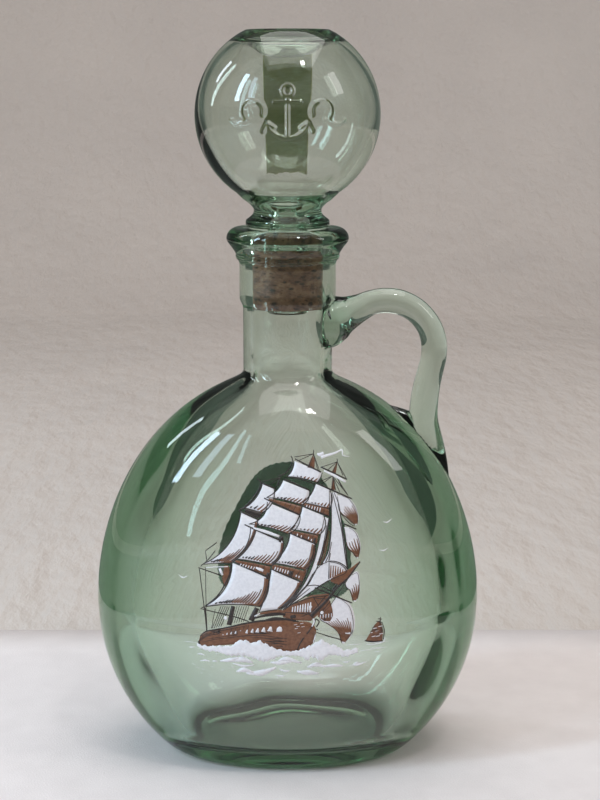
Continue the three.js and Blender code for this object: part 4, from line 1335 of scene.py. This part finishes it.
def make_stage():
    """A wide bowl that is floor and backdrop in one, and a white cloth under the object."""
    profile = [(0.001, 0), (0.2, 0), (0.5, 0), (0.8, 0), (FLOOR_RADIUS, 0)]
    turn = np.linspace(0, math.pi / 2, 14)[1:]
    sweep = WALL_RADIUS - FLOOR_RADIUS
    profile += [(FLOOR_RADIUS + sweep * math.sin(t), sweep * (1 - math.cos(t))) for t in turn]
    profile.append((WALL_RADIUS, WALL_HEIGHT))
    angles = np.linspace(0, 2 * math.pi, 96, endpoint=False)
    rings = spun_rings(np.array(profile), angles)
    rings[:, :, 2] -= MAT_THICKNESS
    bowl = mesh_object("backdrop", rings.reshape(-1, 3) / MM, [f[::-1] for f in loft_faces(len(profile), 96)])
    bowl.data.materials.append(wall_material())
    x0, x1, y0, y1 = -0.75, 0.75, -0.95, MAT_FAR_EDGE
    columns = np.linspace(x0, x1, 40)
    rows = np.linspace(y0, y1, 40)
    grid = np.array([[(x, y, 0) for x in columns] for y in rows]).reshape(-1, 3)
    low = grid - [0, 0, MAT_THICKNESS * 0.9]
    cloth = sheet_solid("table_cloth", low / MM, grid / MM, grid_faces(40, 40))
    cloth.data.materials.append(cloth_material())


def area_light(name, place, aim, size, power, colour=(1, 1, 1), camera=False):
    data = bpy.data.lights.new(name, "AREA")
    data.shape = "RECTANGLE"
    data.size, data.size_y = size
    data.energy = power
    data.color = colour
    light = bpy.data.objects.new(name, data)
    light.location = place
    light.rotation_euler = (Vector(aim) - Vector(place)).to_track_quat("-Z", "Y").to_euler()
    light.visible_camera = camera
    bpy.context.scene.collection.objects.link(light)
    return light


def dark_surround(name, from_deg, to_deg, refracted):
    """A curved dark card that only the glass sees: in its reflections, or also through its thick edges."""
    angles = np.radians(np.linspace(from_deg, to_deg, max(3, round((to_deg - from_deg) / 6))))
    levels = np.linspace(SURROUND_LOW, SURROUND_HIGH, 5)
    grid = np.array([[(SURROUND_RADIUS * math.cos(a), SURROUND_RADIUS * math.sin(a), z) for a in angles]
                     for z in levels])
    card = mesh_object(name, grid.reshape(-1, 3) / MM, grid_faces(len(levels), len(angles)), False)
    dress_card(card, refracted)


def dress_card(card, refracted):
    shader = Shader(card.name)
    shader.colour(shader.ramp(shader.noise(3), (0.4, (0.09, 0.105, 0.09)), (0.6, (0.15, 0.17, 0.15))))
    shader.set(Roughness=1.0)
    card.data.materials.append(shader.material)
    card.visible_camera = False
    card.visible_shadow = False
    card.visible_diffuse = False
    card.visible_transmission = refracted


def dark_floor():
    """A dark ring just over the floor that shows in the glass's reflections only."""
    profile = np.array([(0.24, 0.002), (0.5, 0.002), (SURROUND_RADIUS, 0.002)])
    rings = spun_rings(profile, np.linspace(0, 2 * math.pi, 72, endpoint=False))
    card = mesh_object("dark_floor_card", rings.reshape(-1, 3) / MM, loft_faces(3, 72), False)
    dress_card(card, False)


SURROUND_RADIUS = 1.15
SURROUND_LOW = 0.06
SURROUND_HIGH = 1.3


def make_lights():
    centre = (0, 0, 0.14)
    area_light("top_soft", (0.1, 0.1, 1.7), (0, 0.1, 0.1), (1.6, 1.3), 14, (1, 0.98, 0.95))
    for pane, (x, y, power) in enumerate(((-1.01, -0.46, 8.0), (-0.86, -0.74, 2.6))):
        area_light(f"window_pane_{pane}", (x, y, 0.62), centre, (0.12, 1.0), power, (0.62, 0.83, 1.0))
    area_light("strip_back_left", (-1.05, 0.42, 0.75), centre, (0.10, 0.7), 2.4, (0.80, 0.90, 1.0))
    area_light("strip_right", (1.05, -0.35, 0.75), centre, (0.22, 0.8), 2.5, (1, 0.98, 0.96))
    area_light("sparkle_top", (0.35, -0.5, 1.45), centre, (0.12, 0.12), 1.8)
    dark_surround("dark_card_front", -150, 62, True)
    dark_surround("dark_card_left", 116, 156, True)
    dark_surround("dark_card_back", 62, 116, False)
    dark_surround("dark_card_side", 156, 210, False)
    dark_floor()
    world = bpy.data.worlds.new("studio")
    world.use_nodes = True
    background = world.node_tree.nodes["Background"]
    background.inputs["Color"].default_value = (1.0, 0.98, 0.95, 1)
    background.inputs["Strength"].default_value = 0.30
    bpy.context.scene.world = world


def make_camera():
    data = bpy.data.cameras.new("camera")
    data.sensor_fit = "VERTICAL"
    data.sensor_height = 24
    data.lens = 48.6
    data.shift_x = 0.0155
    data.clip_start = 0.01
    camera = bpy.data.objects.new("camera", data)
    camera.location = (0, -0.6, 0.257)
    camera.rotation_euler = (math.radians(90 - 11.42), 0, 0)
    bpy.context.scene.collection.objects.link(camera)
    bpy.context.scene.camera = camera


def render_settings():
    scene = bpy.context.scene
    scene.view_settings.view_transform = "Standard"
    scene.view_settings.look = "None"
    scene.view_settings.exposure = 0.0
    cycles = scene.cycles
    cycles.max_bounces = 28
    cycles.transmission_bounces = 24
    cycles.transparent_max_bounces = 24
    cycles.volume_bounces = 0
    cycles.glossy_bounces = 8
    cycles.diffuse_bounces = 4
    cycles.sample_clamp_indirect = 6
    cycles.use_denoising = True


# ---- Assembly ----

make_camera()
render_settings()
make_stage()
make_lights()

add_piece(make_decanter(), "bottle", "green_glass", "flask", "handle")
add_piece(make_globe(), "globe", "green_glass", "stopper_globe")
add_piece(make_cork(), "cork", "cork", "stopper_cork")
add_piece(make_seal_strip(), "globe", "seal_paper", "seal_strip")
add_piece(make_back_label(), "bottle", "label_paper", "back_label")
for enamel, node, slot_name in make_ship():
    add_piece(enamel, "bottle", slot_name, *([node] if node else []))
